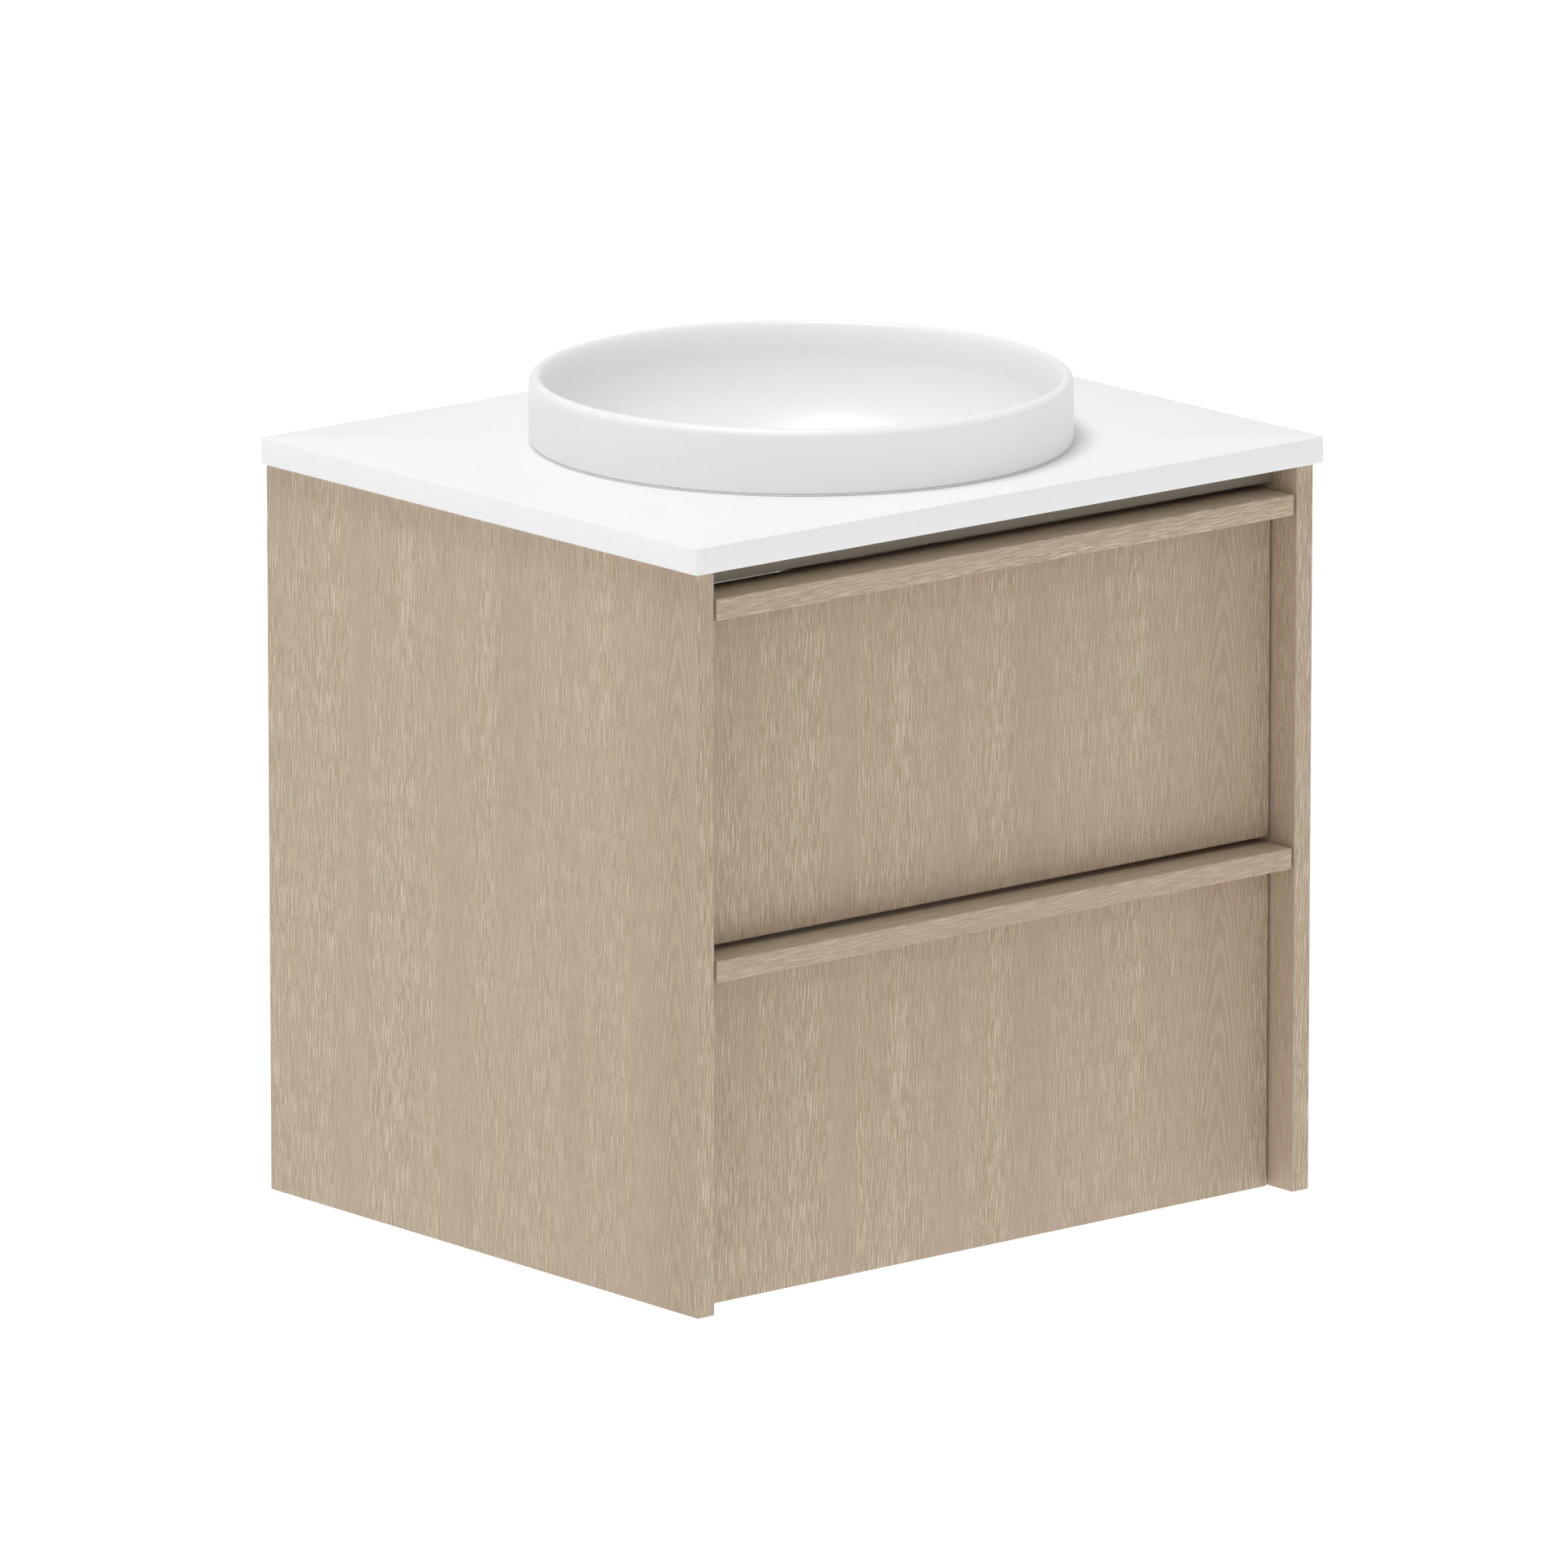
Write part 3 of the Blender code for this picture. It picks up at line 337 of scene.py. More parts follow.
def oak_material():
    """Limed oak veneer. Across and along the grain come from the board's own map, in metres."""
    f = finishes()
    graph = Graph("oak_veneer", f.oak_warm, f.oak_roughness)
    point = graph.map_point(GRAIN_MAP)
    split = graph.nodes.new("ShaderNodeSeparateXYZ")
    graph.feed(split.inputs[0], point)
    across, along = split.outputs["X"], split.outputs["Y"]

    rings = oak_rings(graph, across, along, point)
    coarse = graph.ramp(graph.noise(point, BAND_SCALE, 2.0, 0.6), 0.38, 0.62)
    tone = graph.blend(coarse, f.oak_warm, f.oak_cool)
    figure = figure_share(graph, across)
    shade = graph.ramp(graph.noise(point, SHADE_SCALE, 3.0, 0.6), 0.30, 0.70, 0.0, 0.34)
    tone = graph.blend(shade, tone, f.oak_fibre)

    fibre = graph.noise(point, FIBRE_SCALE, 3.0, 0.65)
    tone = graph.blend(graph.ramp(fibre, 0.40, 0.66, 0.0, 0.46), tone, f.oak_fibre)
    ring_depth = graph.plus(graph.times(figure, 0.34), 0.14)
    ring_fibre = graph.times(graph.minus(1.0, rings), ring_depth)
    tone = graph.blend(ring_fibre, tone, f.oak_fibre)

    long_pores = graph.ramp(graph.noise(point, LONG_PORE_SCALE, 1.0, 0.6), 0.50, 0.59)
    short_pores = graph.noise(point, SHORT_PORE_SCALE, 1.0, 0.6)
    short_pores = graph.ramp(short_pores, 0.51, 0.62, 0.0, 0.8)
    pores = graph.math("MAXIMUM", long_pores, short_pores)
    calm = graph.minus(1.0, graph.times(figure, 0.55))
    in_band = graph.plus(graph.times(coarse, 0.65), 0.35)
    crowding = graph.times(in_band, calm)
    early_wood = graph.plus(graph.times(rings, 0.5), 0.5)
    open_pores = graph.times(early_wood, crowding)
    liming = graph.times(graph.times(pores, open_pores), f.liming_amount)
    tone = graph.blend(liming, tone, f.oak_lime)
    streak = graph.times(pale_streak(graph, across, along, point), 0.22)
    tone = graph.blend(streak, tone, f.oak_lime)

    raised, sunk = (graph.times(part, 0.5) for part in (fibre, pores))
    graph.bump(graph.minus(raised, sunk), 0.30, 0.00012)
    roughness = graph.ramp(fibre, 0.3, 0.7, f.oak_roughness - 0.05, f.oak_roughness + 0.07)
    return graph.finish(tone, roughness)


MOTTLE_DEPTH = 0.0001
MOTTLE_BREADTH = 25
# finish: (roughness, metallic, mottle's periods a metre along x, y and z, share its colour swings
# by, amount its roughness swings by, strength of its bump)
MOTTLED_FINISHES = {
    "solid_surface": (0.42, 0.0, (900.0,) * 3, 0.008, 0.04, 0.02),
    "ceramic": (0.33, 0.0, (160.0,) * 3, 0.004, 0.02, 0.003),
    "white_board": (0.50, 0.0, (1400.0,) * 3, 0.012, 0.04, 0.12),
    # The rail board's colour holds painted shade: a plain taupe board darkened to stand for the
    # shade of the recess under the slab
    "rail_board": (0.55, 0.0, (60.0, 1500.0, 1500.0), 0.05, 0.04, 0.10),
    "chrome": (0.10, 1.0, (60.0,) * 3, 0.01, 0.03, 0.01),
    "steel": (0.34, 1.0, (900.0, 14.0, 900.0), 0.06, 0.08, 0.06),
    "plastic": (0.48, 0.0, (2200.0,) * 3, 0.05, 0.04, 0.15),
    "rubber": (0.72, 0.0, (1800.0,) * 3, 0.10, 0.04, 0.20),
    "sealant": (0.45, 0.0, (400.0,) * 3, 0.015, 0.04, 0.08),
}


def mottled(name, tone, roughness, metallic, scale, tone_swing, roughness_swing, bump):
    """A nearly even finish with a faint mottle in its colour, its gloss and its surface."""
    graph = Graph(name, tone, roughness, metallic)
    point = graph.object_point()
    fine = graph.noise(point, scale, 3.0)
    broad = graph.noise(point, tuple(periods / MOTTLE_BREADTH for periods in scale))
    both = graph.plus(graph.times(fine, 0.6), graph.times(broad, 0.4))
    swing = graph.ramp(both, 0.35, 0.65)
    low, high = (
        tuple(min(1.0, part * (1 + side * tone_swing)) for part in tone) for side in (-1, 1)
    )
    graph.bump(fine, bump, MOTTLE_DEPTH)
    rough = graph.ramp(both, 0.35, 0.65, roughness - roughness_swing, roughness + roughness_swing)
    return graph.finish(graph.blend(swing, low, high), rough)


def make_materials():
    made = {"oak_veneer": oak_material()}
    for name, look in MOTTLED_FINISHES.items():
        made[name] = mottled(name, getattr(finishes(), name), *look)
    glaze = made["ceramic"].node_tree.nodes["Principled BSDF"]
    glaze.inputs["Coat Weight"].default_value = 0.10
    glaze.inputs["Coat Roughness"].default_value = 0.30
    return made


MATERIALS = {}
COLLECTIONS = {}


def material(name):
    if not MATERIALS:
        MATERIALS.update(make_materials())
    return MATERIALS[name]


def collection(name):
    if name not in COLLECTIONS:
        COLLECTIONS[name] = bpy.data.collections.new(name)
        bpy.context.scene.collection.children.link(COLLECTIONS[name])
    return COLLECTIONS[name]


def linked(name, data, group):
    """A new object of the data, in a collection."""
    obj = bpy.data.objects.new(name, data)
    collection(group).objects.link(obj)
    return obj


def body_of_node(node):
    for body, members in frame["record"]["behaviour"]["bodies"].items():
        if node in members:
            return body
    raise RuntimeError(f"the frame has no node named {node}")


# ---- Surfaces ----
def band_faces(rows, columns, wrap_rows=False):
    """The quads of a grid of points whose columns close into a ring, and its rows if wrap_rows."""
    last = rows if wrap_rows else rows - 1
    row, column = np.meshgrid(np.arange(last), np.arange(columns), indexing="ij")
    below, beside = (row + 1) % rows, (column + 1) % columns
    corners = (
        row * columns + column,
        row * columns + beside,
        below * columns + beside,
        below * columns + column,
    )
    return np.stack(corners, axis=-1).reshape(-1, 4)


def bar_faces(rows, columns):
    """The quads between a bar's rings, and a face over each of its ends."""
    count = rows * columns
    ends = [list(range(columns))[::-1], list(range(count - columns, count))]
    return band_faces(rows, columns).tolist() + ends


def piece(name, surface, finish, body, stands_for=(), sharp=35.0):
    """An object of a computed surface, facing outwards, which rides on a body. Its slot has the
    finish's name."""
    points, faces = surface
    mesh = bpy.data.meshes.new(name)
    mesh.from_pydata(points.tolist(), [], faces)
    mesh.validate()
    mesh.update()
    mesh.shade_smooth()
    mesh.set_sharp_from_angle(angle=math.radians(sharp))
    mesh.materials.append(material(finish))
    obj = linked(name, mesh, "vanity")
    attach(obj, body)
    if stands_for:
        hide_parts(*stands_for)
    return obj


def outward(points, faces):
    """The same faces, turned over if they point inwards. The quads' share of the volume inside the
    closed surface, counted from its middle, tells which way they point."""
    quads = np.array([face for face in faces if len(face) == 4])
    a, b, c, d = (points[quads[:, i]] - points.mean(axis=0) for i in range(4))
    volume = np.einsum("ij,ij->", a, np.cross(b, c)) + np.einsum("ij,ij->", a, np.cross(c, d))
    return [face[::-1] for face in faces] if volume < 0 else faces


def rounded_rectangle(width, height, radius, steps=4):
    """Points round a rectangle whose corners are quarter circles."""
    turn = np.linspace(0, math.pi / 2, steps)
    arcs = []
    for quarter, (sx, sy) in enumerate(((1, 1), (-1, 1), (-1, -1), (1, -1))):
        angle = turn + quarter * math.pi / 2
        x = sx * (width / 2 - radius) + radius * np.cos(angle)
        y = sy * (height / 2 - radius) + radius * np.sin(angle)
        arcs.append(np.stack([x, y], axis=1))
    return np.concatenate(arcs)


def eased_ends(span, radius, steps=4):
    """(place along, inset) pairs of a bar's rings: at each end a quarter circle from the end face,
    inset by the radius, to the full section."""
    turn = np.linspace(0, math.pi / 2, steps)
    place = radius * (1 - np.cos(turn))
    inset = radius * (1 - np.sin(turn))
    low, high = span
    return np.concatenate([low + place, high - place[::-1]]), np.concatenate([inset, inset[::-1]])


def board_surface(low, high, radius):
    """A board with every edge eased: a rounded rectangle carried along the board's longest side,
    drawn in by the edge's radius over a quarter circle at each end."""
    size = high - low
    run = int(np.argmax(size))
    one, two = [axis for axis in range(3) if axis != run]
    places, insets = eased_ends((low[run], high[run]), 0.9 * radius)
    rings = []
    for place, inset in zip(places, insets):
        outline = rounded_rectangle(size[one] - 2 * inset, size[two] - 2 * inset, radius - inset)
        ring = np.empty((len(outline), 3))
        ring[:, one] = outline[:, 0] + (low[one] + high[one]) / 2
        ring[:, two] = outline[:, 1] + (low[two] + high[two]) / 2
        ring[:, run] = place
        rings.append(ring)
    points = np.concatenate(rings)
    return points, outward(points, bar_faces(len(rings), len(rings[0])))


def read(items, name, width=3, kind=float):
    """An attribute of a mesh's items, a row for each."""
    values = np.empty(len(items) * width, kind)
    items.foreach_get(name, values)
    return values.reshape(-1, width)


def add_grain_map(obj, low, high, grain, shift):
    """Maps each face to (across, along) the grain in metres, counted from the board's left edge as
    someone facing that face sees it, and from the board's top or right end."""
    mesh = obj.data
    mesh.uv_layers.new(name=GRAIN_MAP)
    points = read(mesh.vertices, "co")[read(mesh.loops, "vertex_index", 1, int)[:, 0]]
    totals = read(mesh.polygons, "loop_total", 1, int)[:, 0]
    normals = np.repeat(read(mesh.polygons, "normal"), totals, axis=0)
    facing = np.abs(normals).argmax(axis=1)
    sign = np.take_along_axis(normals, facing[:, None], axis=1)[:, 0] > 0
    across = np.empty(len(points))
    along = points[:, grain] - high[grain]
    for axis in range(3):
        here = facing == axis
        others = [other for other in range(3) if other not in (axis, grain)]
        other = others[0]
        from_low = points[:, other] - low[other]
        from_high = high[other] - points[:, other]
        mirrored = sign if axis == 1 else ~sign
        across[here] = np.where(mirrored, from_high, from_low)[here]
        if axis == grain:
            along[here] = (points[:, others[-1]] - low[others[-1]])[here]
    across += shift[0]
    along += shift[1]
    mesh.uv_layers[GRAIN_MAP].data.foreach_set("uv", np.stack([across, along], axis=1).ravel())


def plate_surface(outline, span, radius):
    """A flat sheet cut to an outline, with eased edges: the outline carried up through the sheet
    and drawn in along its own normals over a quarter circle at both faces."""
    outline = np.asarray(outline, float)
    before, after = np.roll(outline, 1, axis=0), np.roll(outline, -1, axis=0)
    ahead = (after - outline) / np.linalg.norm(after - outline, axis=1)[:, None]
    behind = (outline - before) / np.linalg.norm(outline - before, axis=1)[:, None]
    tangent = ahead + behind
    tangent /= np.linalg.norm(tangent, axis=1)[:, None]
    inwards = np.stack([-tangent[:, 1], tangent[:, 0]], axis=1)
    stretch = 1 / np.maximum(0.5, np.einsum("ij,ij->i", ahead, tangent))[:, None]
    area = np.sum(outline[:, 0] * after[:, 1] - outline[:, 1] * after[:, 0])
    if area < 0:
        inwards = -inwards
    places, insets = eased_ends(span, radius)
    rings = [
        np.column_stack([outline + inset * stretch * inwards, np.full(len(outline), place)])
        for place, inset in zip(places, insets)
    ]
    points = np.concatenate(rings)
    return points, outward(points, bar_faces(len(rings), len(outline)))


def turned_surface(profile, centre, steps, axis=UP, ripple=None):
    """A profile of (radius, height) pairs turned about an axis. A closed profile gives a ring, and
    where its first or last point lies on the axis, one point closes the pole. A ripple maps
    (radii, heights, angles) to new radii."""
    profile = np.asarray(profile, float)
    poles = [profile[0, 0] < 1e-9, profile[-1, 0] < 1e-9]
    body = profile[1 if poles[0] else 0 : -1 if poles[1] else None]
    angle = np.linspace(0, 2 * math.pi, steps, endpoint=False)
    radius = np.repeat(body[:, :1], steps, axis=1)
    height = np.repeat(body[:, 1:], steps, axis=1)
    if ripple is not None:
        radius = ripple(radius, height, angle[None, :])
    points = np.stack([radius * np.cos(angle), radius * np.sin(angle), height], axis=-1)
    points = points.reshape(-1, 3)
    faces = band_faces(len(body), steps, wrap_rows=not any(poles)).tolist()
    column = np.arange(steps)
    for is_pole, height_at, first in (
        (poles[0], profile[0, 1], 0),
        (poles[1], profile[-1, 1], (len(body) - 1) * steps),
    ):
        if is_pole:
            points = np.vstack([points, [0, 0, height_at]])
            tip = np.full(steps, len(points) - 1)
            ring = first + column
            beside = first + (column + 1) % steps
            fan = np.stack([tip, ring, beside] if first == 0 else [tip, beside, ring], axis=1)
            faces += fan.tolist()
    if axis == TOWARDS_WALL:
        points = points[:, [0, 2, 1]]
    points = points + np.asarray(centre, float)
    return points, outward(points, faces)


def rounded_profile(profile, radius, steps=3, closed=True):
    """The profile with each corner replaced by a short curve: points on the quadratic from one side
    of the corner to the other, no longer than 0.4 of either side."""
    profile = np.asarray(profile, float)
    made = []
    t = np.linspace(0, 1, steps)[:, None]
    count = len(profile)
    for i in range(count):
        here = profile[i]
        if not closed and i in (0, count - 1):
            made.append(here[None])
            continue
        before, after = profile[i - 1] - here, profile[(i + 1) % count] - here
        long_before, long_after = np.linalg.norm(before), np.linalg.norm(after)
        cut = min(radius, 0.4 * long_before, 0.4 * long_after)
        start, end = here + before / long_before * cut, here + after / long_after * cut
        made.append((1 - t) ** 2 * start + 2 * t * (1 - t) * here + t**2 * end)
    return np.concatenate(made)


# ---- Boards ----
def corners_of(node):
    """The low and high corners of a node's box, as arrays."""
    return (np.array(corner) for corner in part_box(node))


def finished(node, surface, finish):
    """The piece that stands for a whole node."""
    name = f"{node}_finished"
    return piece(name, surface, finish, body_of_node(node), (node,), sharp=50.0)


def make_board(node, finish, radius):
    return finished(node, board_surface(*corners_of(node), radius), finish)


def make_plate(node, outline, finish, radius):
    low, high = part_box(node)
    finished(node, plate_surface(outline, (low.z, high.z), radius), finish)


def scooped_outline(low, high, centre):
    """A rectangle whose back edge is cut by the circle of the cutout about the centre."""
    back = high[1] - centre[1]
    reach = math.sqrt(CUTOUT_RADIUS**2 - back**2)
    limit = math.atan2(back, reach)
    turn = np.linspace(limit, -math.pi - limit, 49)
    arc = centre[:2] + CUTOUT_RADIUS * np.stack([np.cos(turn), np.sin(turn)], axis=1)
    corners = [(low[0], high[1]), (low[0], low[1]), (high[0], low[1]), (high[0], high[1])]
    return np.vstack([corners, arc])


def end_outline(node):
    """The outline of a straight folded piece, as a loop of (x, z) points: the edges that only one
    triangle of its front end has, put in order."""
    mesh = frame["nodes"][node].data
    mesh.calc_loop_triangles()
    points = read(mesh.vertices, "co")
    triangles = read(mesh.loop_triangles, "vertices", kind=int)
    at_front = (points[triangles, 1] < points[:, 1].min() + 1e-6).all(axis=1)
    places, merged = np.unique(np.round(points[:, [0, 2]], 5), axis=0, return_inverse=True)
    triangles = merged.reshape(-1)[triangles[at_front]]
    edges = triangles[:, [0, 1, 1, 2, 2, 0]].reshape(-1, 2)
    code = edges[:, 0] * len(places) + edges[:, 1]
    back = edges[:, 1] * len(places) + edges[:, 0]
    after = dict(edges[~np.isin(code, back)].tolist())
    loop = [next(iter(after))]
    while after[loop[-1]] != loop[0]:
        loop.append(after[loop[-1]])
    return places[loop]


class BuildOperator:
    """What the operators share."""

    bl_options = {"REGISTER", "UNDO"}


class VANITY_OT_oak_boards(BuildOperator, bpy.types.Operator):
    """The veneered sides, drawer fronts and handle rails, and the plain rail under the slab, whose
    colour carries painted shade
    """

    bl_idname = "vanity.oak_boards"
    bl_label = "Oak Boards"

    def execute(self, context):
        for node, (grain, *shift) in OAK_BOARDS.items():
            board = make_board(node, "oak_veneer", sizes().board_edge)
            add_grain_map(board, *corners_of(node), grain, shift)
        outline = scooped_outline(*corners_of("top_front_rail"), basin_centre())
        # The rail's finish is darkened with painted shade for the recess under the slab
        make_plate("top_front_rail", outline, "rail_board", sizes().board_edge)
        return {"FINISHED"}


class VANITY_OT_white_boards(BuildOperator, bpy.types.Operator):
    """The inner boards of the carcass and the drawer boxes, and the rail that hangs on the wall"""

    bl_idname = "vanity.white_boards"
    bl_label = "White Boards"

    def execute(self, context):
        for node in WHITE_BOARDS:
            make_board(node, "white_board", sizes().white_edge)
        keep_node("hanging_rail", "white_board")
        low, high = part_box("upper_box_base")
        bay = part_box("upper_recess_side_right")[0]
        outline = [
            (low.x, low.y), (high.x, low.y), (high.x, high.y), (bay.x, high.y), (bay.x, bay.y),
            (-bay.x, bay.y), (-bay.x, high.y), (low.x, high.y),
        ]
        make_plate("upper_box_base", outline, "white_board", sizes().white_edge)
        return {"FINISHED"}


def keep_node(node, finish):
    """Leaves a node's own mesh in place and gives it the finish."""
    obj = frame["nodes"][node]
    obj.data.materials.clear()
    obj.data.materials.append(material(finish))


# ---- Slab top ----
CUTOUT_RADIUS = 0.18115
SLAB_CORNER = 0.0022
SLAB_SIDE_STEPS = 33
SLAB_CORNER_STEPS = 5


class VANITY_OT_slab_top(BuildOperator, bpy.types.Operator):
    """The solid-surface top with its round cutout"""

    bl_idname = "vanity.slab_top"
    bl_label = "Slab Top"

    def execute(self, context):
        surface = slab_surface(*corners_of("benchtop"), basin_centre(), sizes().top_edge)
        piece("slab_top", surface, "solid_surface", "cabinet", ("benchtop",), sharp=60.0)
        return {"FINISHED"}


def basin_centre():
    low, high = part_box("basin")
    return np.array([(low.x + high.x) / 2, (low.y + high.y) / 2, 0.0])


def slab_outline(low, high, inset):
    """The slab's outline, drawn in by the inset: evenly divided sides and round corners."""
    radius = SLAB_CORNER - inset
    half = (high[:2] - low[:2]) / 2 - inset
    corners = rounded_rectangle(2 * half[0], 2 * half[1], radius, SLAB_CORNER_STEPS)
    outline = []
    for first in range(0, len(corners), SLAB_CORNER_STEPS):
        arc = corners[first : first + SLAB_CORNER_STEPS]
        following = corners[(first + SLAB_CORNER_STEPS) % len(corners)]
        t = np.linspace(0, 1, SLAB_SIDE_STEPS)[1:-1, None]
        outline += [arc, (1 - t) * arc[-1] + t * following]
    return np.concatenate(outline) + (low[:2] + high[:2]) / 2


def slab_surface(low, high, centre, edge):
    """Rings from the round cutout to the slab's outline and back: each ring holds the outline's
    points, or the points of a circle in the same directions from the cutout's centre. The outer
    and inner edges are quarter circles."""
    outline = slab_outline(low, high, 0.0)
    direction = outline - centre[:2]
    direction /= np.linalg.norm(direction, axis=1)[:, None]
    turn = np.linspace(0, math.pi / 2, 5)
    rings = []
    for face, sign in ((high[2], 1), (low[2], -1)):
        inner, outer = [], []
        for angle in turn:
            level = np.full(len(outline), face - sign * edge * (1 - math.sin(angle)))
            inset = edge * (1 - math.cos(angle))
            circle = centre[:2] + (CUTOUT_RADIUS + inset) * direction
            inner.append(np.column_stack([circle, level]))
            outer.append(np.column_stack([slab_outline(low, high, inset), level]))
        rings += (inner + outer[::-1])[::sign]
    points = np.concatenate(rings)
    return points, outward(points, band_faces(len(rings), len(outline), wrap_rows=True).tolist())


# ---- Basin ----
FOOT_GAP = 0.0015
BEAD_HEIGHT = 0.0014
BEAD_SETBACK = 0.001
SEAT_RECESS = 0.003


class VANITY_OT_basin(BuildOperator, bpy.types.Operator):
    """The round basin with its rolled rim, and the bead of sealant under it"""

    bl_idname = "vanity.basin"
    bl_label = "Basin"

    def execute(self, context):
        low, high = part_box("basin")
        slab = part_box("benchtop")[1].z
        centre = basin_centre()
        profile = basin_profile((high.x - low.x) / 2, high.z, slab + FOOT_GAP)
        surface = turned_surface(profile, centre, 2 * sizes().turn_steps)
        piece("basin_glazed", surface, "ceramic", "cabinet", ("basin",), sharp=60.0)

        bead_low, bead_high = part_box("basin_sealant")
        outer = (bead_high.x - bead_low.x) / 2
        middle = (bead_low.z + bead_high.z) / 2
        half = BEAD_HEIGHT / 2
        turn = np.linspace(-math.pi / 2, math.pi / 2, 7)
        bulge = np.stack([outer + half * np.cos(turn), middle + half * np.sin(turn)], axis=1)
        reach = CUTOUT_RADIUS + BEAD_SETBACK
        inner = [(reach, middle + half), (reach, middle - half)]
        surface = turned_surface(np.vstack([bulge, inner]), centre, 2 * sizes().turn_steps)
        piece("sealant_bead", surface, "sealant", "cabinet", ("basin_sealant",))
        return {"FINISHED"}


def basin_profile(radius, rim_top, foot):
    """The basin's section, from the rim's crown down the outside, under the bowl and up the inside.
    The rim is a quarter circle outside and a taller quarter ellipse inside; the bowl is a quarter
    superellipse, |x|^n + |y|^n = 1, and its underside is the same curve moved out by the wall."""
    s = sizes()
    rim = s.rim_thickness / 2
    spring = rim_top - rim
    over = np.linspace(math.pi / 2, 0, 13)
    outer_rim = np.stack([radius - rim + rim * np.cos(over), spring + rim * np.sin(over)], axis=1)
    under = np.linspace(0, -math.pi / 2, 6)
    foot_at = (radius - s.foot_fillet, foot + s.foot_fillet)
    fillet = foot_at + s.foot_fillet * np.stack([np.cos(under), np.sin(under)], axis=1)
    turn = np.linspace(0, math.pi / 2, 49)
    floor = rim_top - s.bowl_depth
    reach = radius - s.rim_thickness - s.waste_seat
    inside = np.stack(
        [
            s.waste_seat + reach * np.cos(turn).clip(0) ** (2 / s.bowl_power),
            spring - (spring - floor) * np.sin(turn) ** (2 / s.bowl_power),
        ],
        axis=1,
    )
    along = np.gradient(inside, axis=0)
    along[0], along[-1] = (0, -1), (-1, 0)
    along /= np.linalg.norm(along, axis=1)[:, None]
    moved = inside + s.basin_wall * np.stack([-along[:, 1], along[:, 0]], axis=1)
    neck = np.interp(-foot, -moved[:, 1], moved[:, 0])
    below = inside[inside[:, 1] < rim_top - s.rim_roll]
    across = radius - rim - below[0, 0]
    drop = rim_top - below[0, 1]
    inner_rim = np.stack(
        [radius - rim - across * np.cos(over), rim_top - drop * (1 - np.sin(over))], axis=1
    )
    seat = floor - SEAT_RECESS
    drain = [(s.drain_hole, floor - s.basin_wall), (s.drain_hole, seat), (s.waste_seat, seat)]
    return np.vstack(
        [
            outer_rim,
            np.stack([np.full(5, radius), np.linspace(spring, foot_at[1], 7)[1:-1]], axis=1),
            fillet,
            [(neck, foot)],
            moved[moved[:, 1] < foot - 0.0003],
            rounded_profile(drain, 0.0006, closed=False),
            below[::-1],
            inner_rim[-2:0:-1],
        ]
    )


# ---- Waste, plug and trap ----
# (radius, height) points in millimetres, in the frame, down the outside and up the inside
WASTE_SECTION = (
    (29.4, 7.3), (31.2, 7.2), (32, 6.4), (32, 5.1), (20.5, 5.1), (20.5, -8),
    (20.5, -79.7), (17.5, -79.7), (17.5, 2.1), (27, 7.3),
)
SEAL_SECTION = ((32, 4.8), (32, 3.6), (22.8, 3.6), (22.8, 4.8))
WASHER_SECTION = ((30.8, -5), (30.8, -9.2), (20.8, -9.2), (20.8, -5))
BACKNUT_SECTION = (
    (30.8, -9.5), (30.8, -12.3), (28.8, -13.6), (28.8, -21.5), (20.8, -21.5), (20.8, -9.5),
)
SLIP_NUT_SECTION = (
    (26.8, -70.7), (26.8, -92), (24.6, -94.7), (16.3, -94.7), (16.3, -82.7), (20.8, -82.7),
    (20.8, -70.7),
)
INLET_SECTION = (
    (20.2, -80), (20.2, -82.4), (16, -82.4), (16, -154), (14.5, -154), (14.5, -80),
)
BOTTLE_SECTION = (
    (18.8, -97.7), (18.8, -105.7), (27.5, -105.7), (30, -108.2), (30, -152.7), (28.5, -152.7),
    (28.5, -162.7), (26, -162.7), (26, -108.2), (16.3, -108.2), (16.3, -97.7),
)
CUP_SECTION = (
    (0, -183.5), (26.3, -183.5), (28.8, -181), (28.8, -153), (31.3, -153), (31.3, -183.5),
    (28.8, -186), (0, -186),
)
# (radius, distance from the basin's centre towards the wall)
BRANCH_SECTION = ((19, 42), (19, 27.2), (16.3, 27.2), (16.3, 42))
OUTLET_NUT_SECTION = (
    (25.3, 54.3), (25.3, 34.3), (19.3, 34.3), (19.3, 42.3), (16.3, 42.3), (16.3, 54.3),
)
OUTLET_SECTION = ((16, 30), (16, 260), (14.5, 260), (14.5, 30))
WALL_FLANGE_SECTION = (
    (35, 260), (35, 258.5), (30, 253), (19.3, 248), (16.3, 248), (16.3, 260),
)
OUTLET_LEVEL = -0.1297
TAIL_RADIUS = 0.0205
TAIL_THREAD = (-0.0790, -0.0095)
THREAD_PITCH = 0.002
THREAD_DEPTH = 0.0007


def hexagon(low, high, flat):
    """Cuts six flats, at a distance from the axis, into a turned piece between two levels."""

    def cut(radius, height, angle):
        sixth = (angle + math.pi / 6) % (math.pi / 3) - math.pi / 6
        flats = flat / np.cos(sixth)
        here = (height > low) & (height < high) & (radius > 0.9 * flat)
        return np.where(here, np.minimum(radius, flats), radius)

    return cut


def grooves(count, depth, outer):
    """Finger grooves: a nut's outside is drawn in by the depth times a cosine's fourth power."""

    def cut(radius, height, angle):
        wave = np.cos(count * angle / 2) ** 4
        return np.where(radius > 0.97 * outer, radius - depth * wave, radius)

    return cut


def thread(outer, low, high):
    """A fine thread: the radius falls by the depth and back once a pitch, the phase going round
    with the angle."""

    def cut(radius, height, angle):
        wave = 0.5 - 0.5 * np.cos(2 * math.pi * height / THREAD_PITCH + angle)
        fade = np.clip((height - low) / THREAD_PITCH, 0, 1)
        fade = fade * np.clip((high - height) / THREAD_PITCH, 0, 1)
        here = np.abs(radius - outer) < 1e-5
        return np.where(here, radius - THREAD_DEPTH * wave * fade, radius)

    return cut


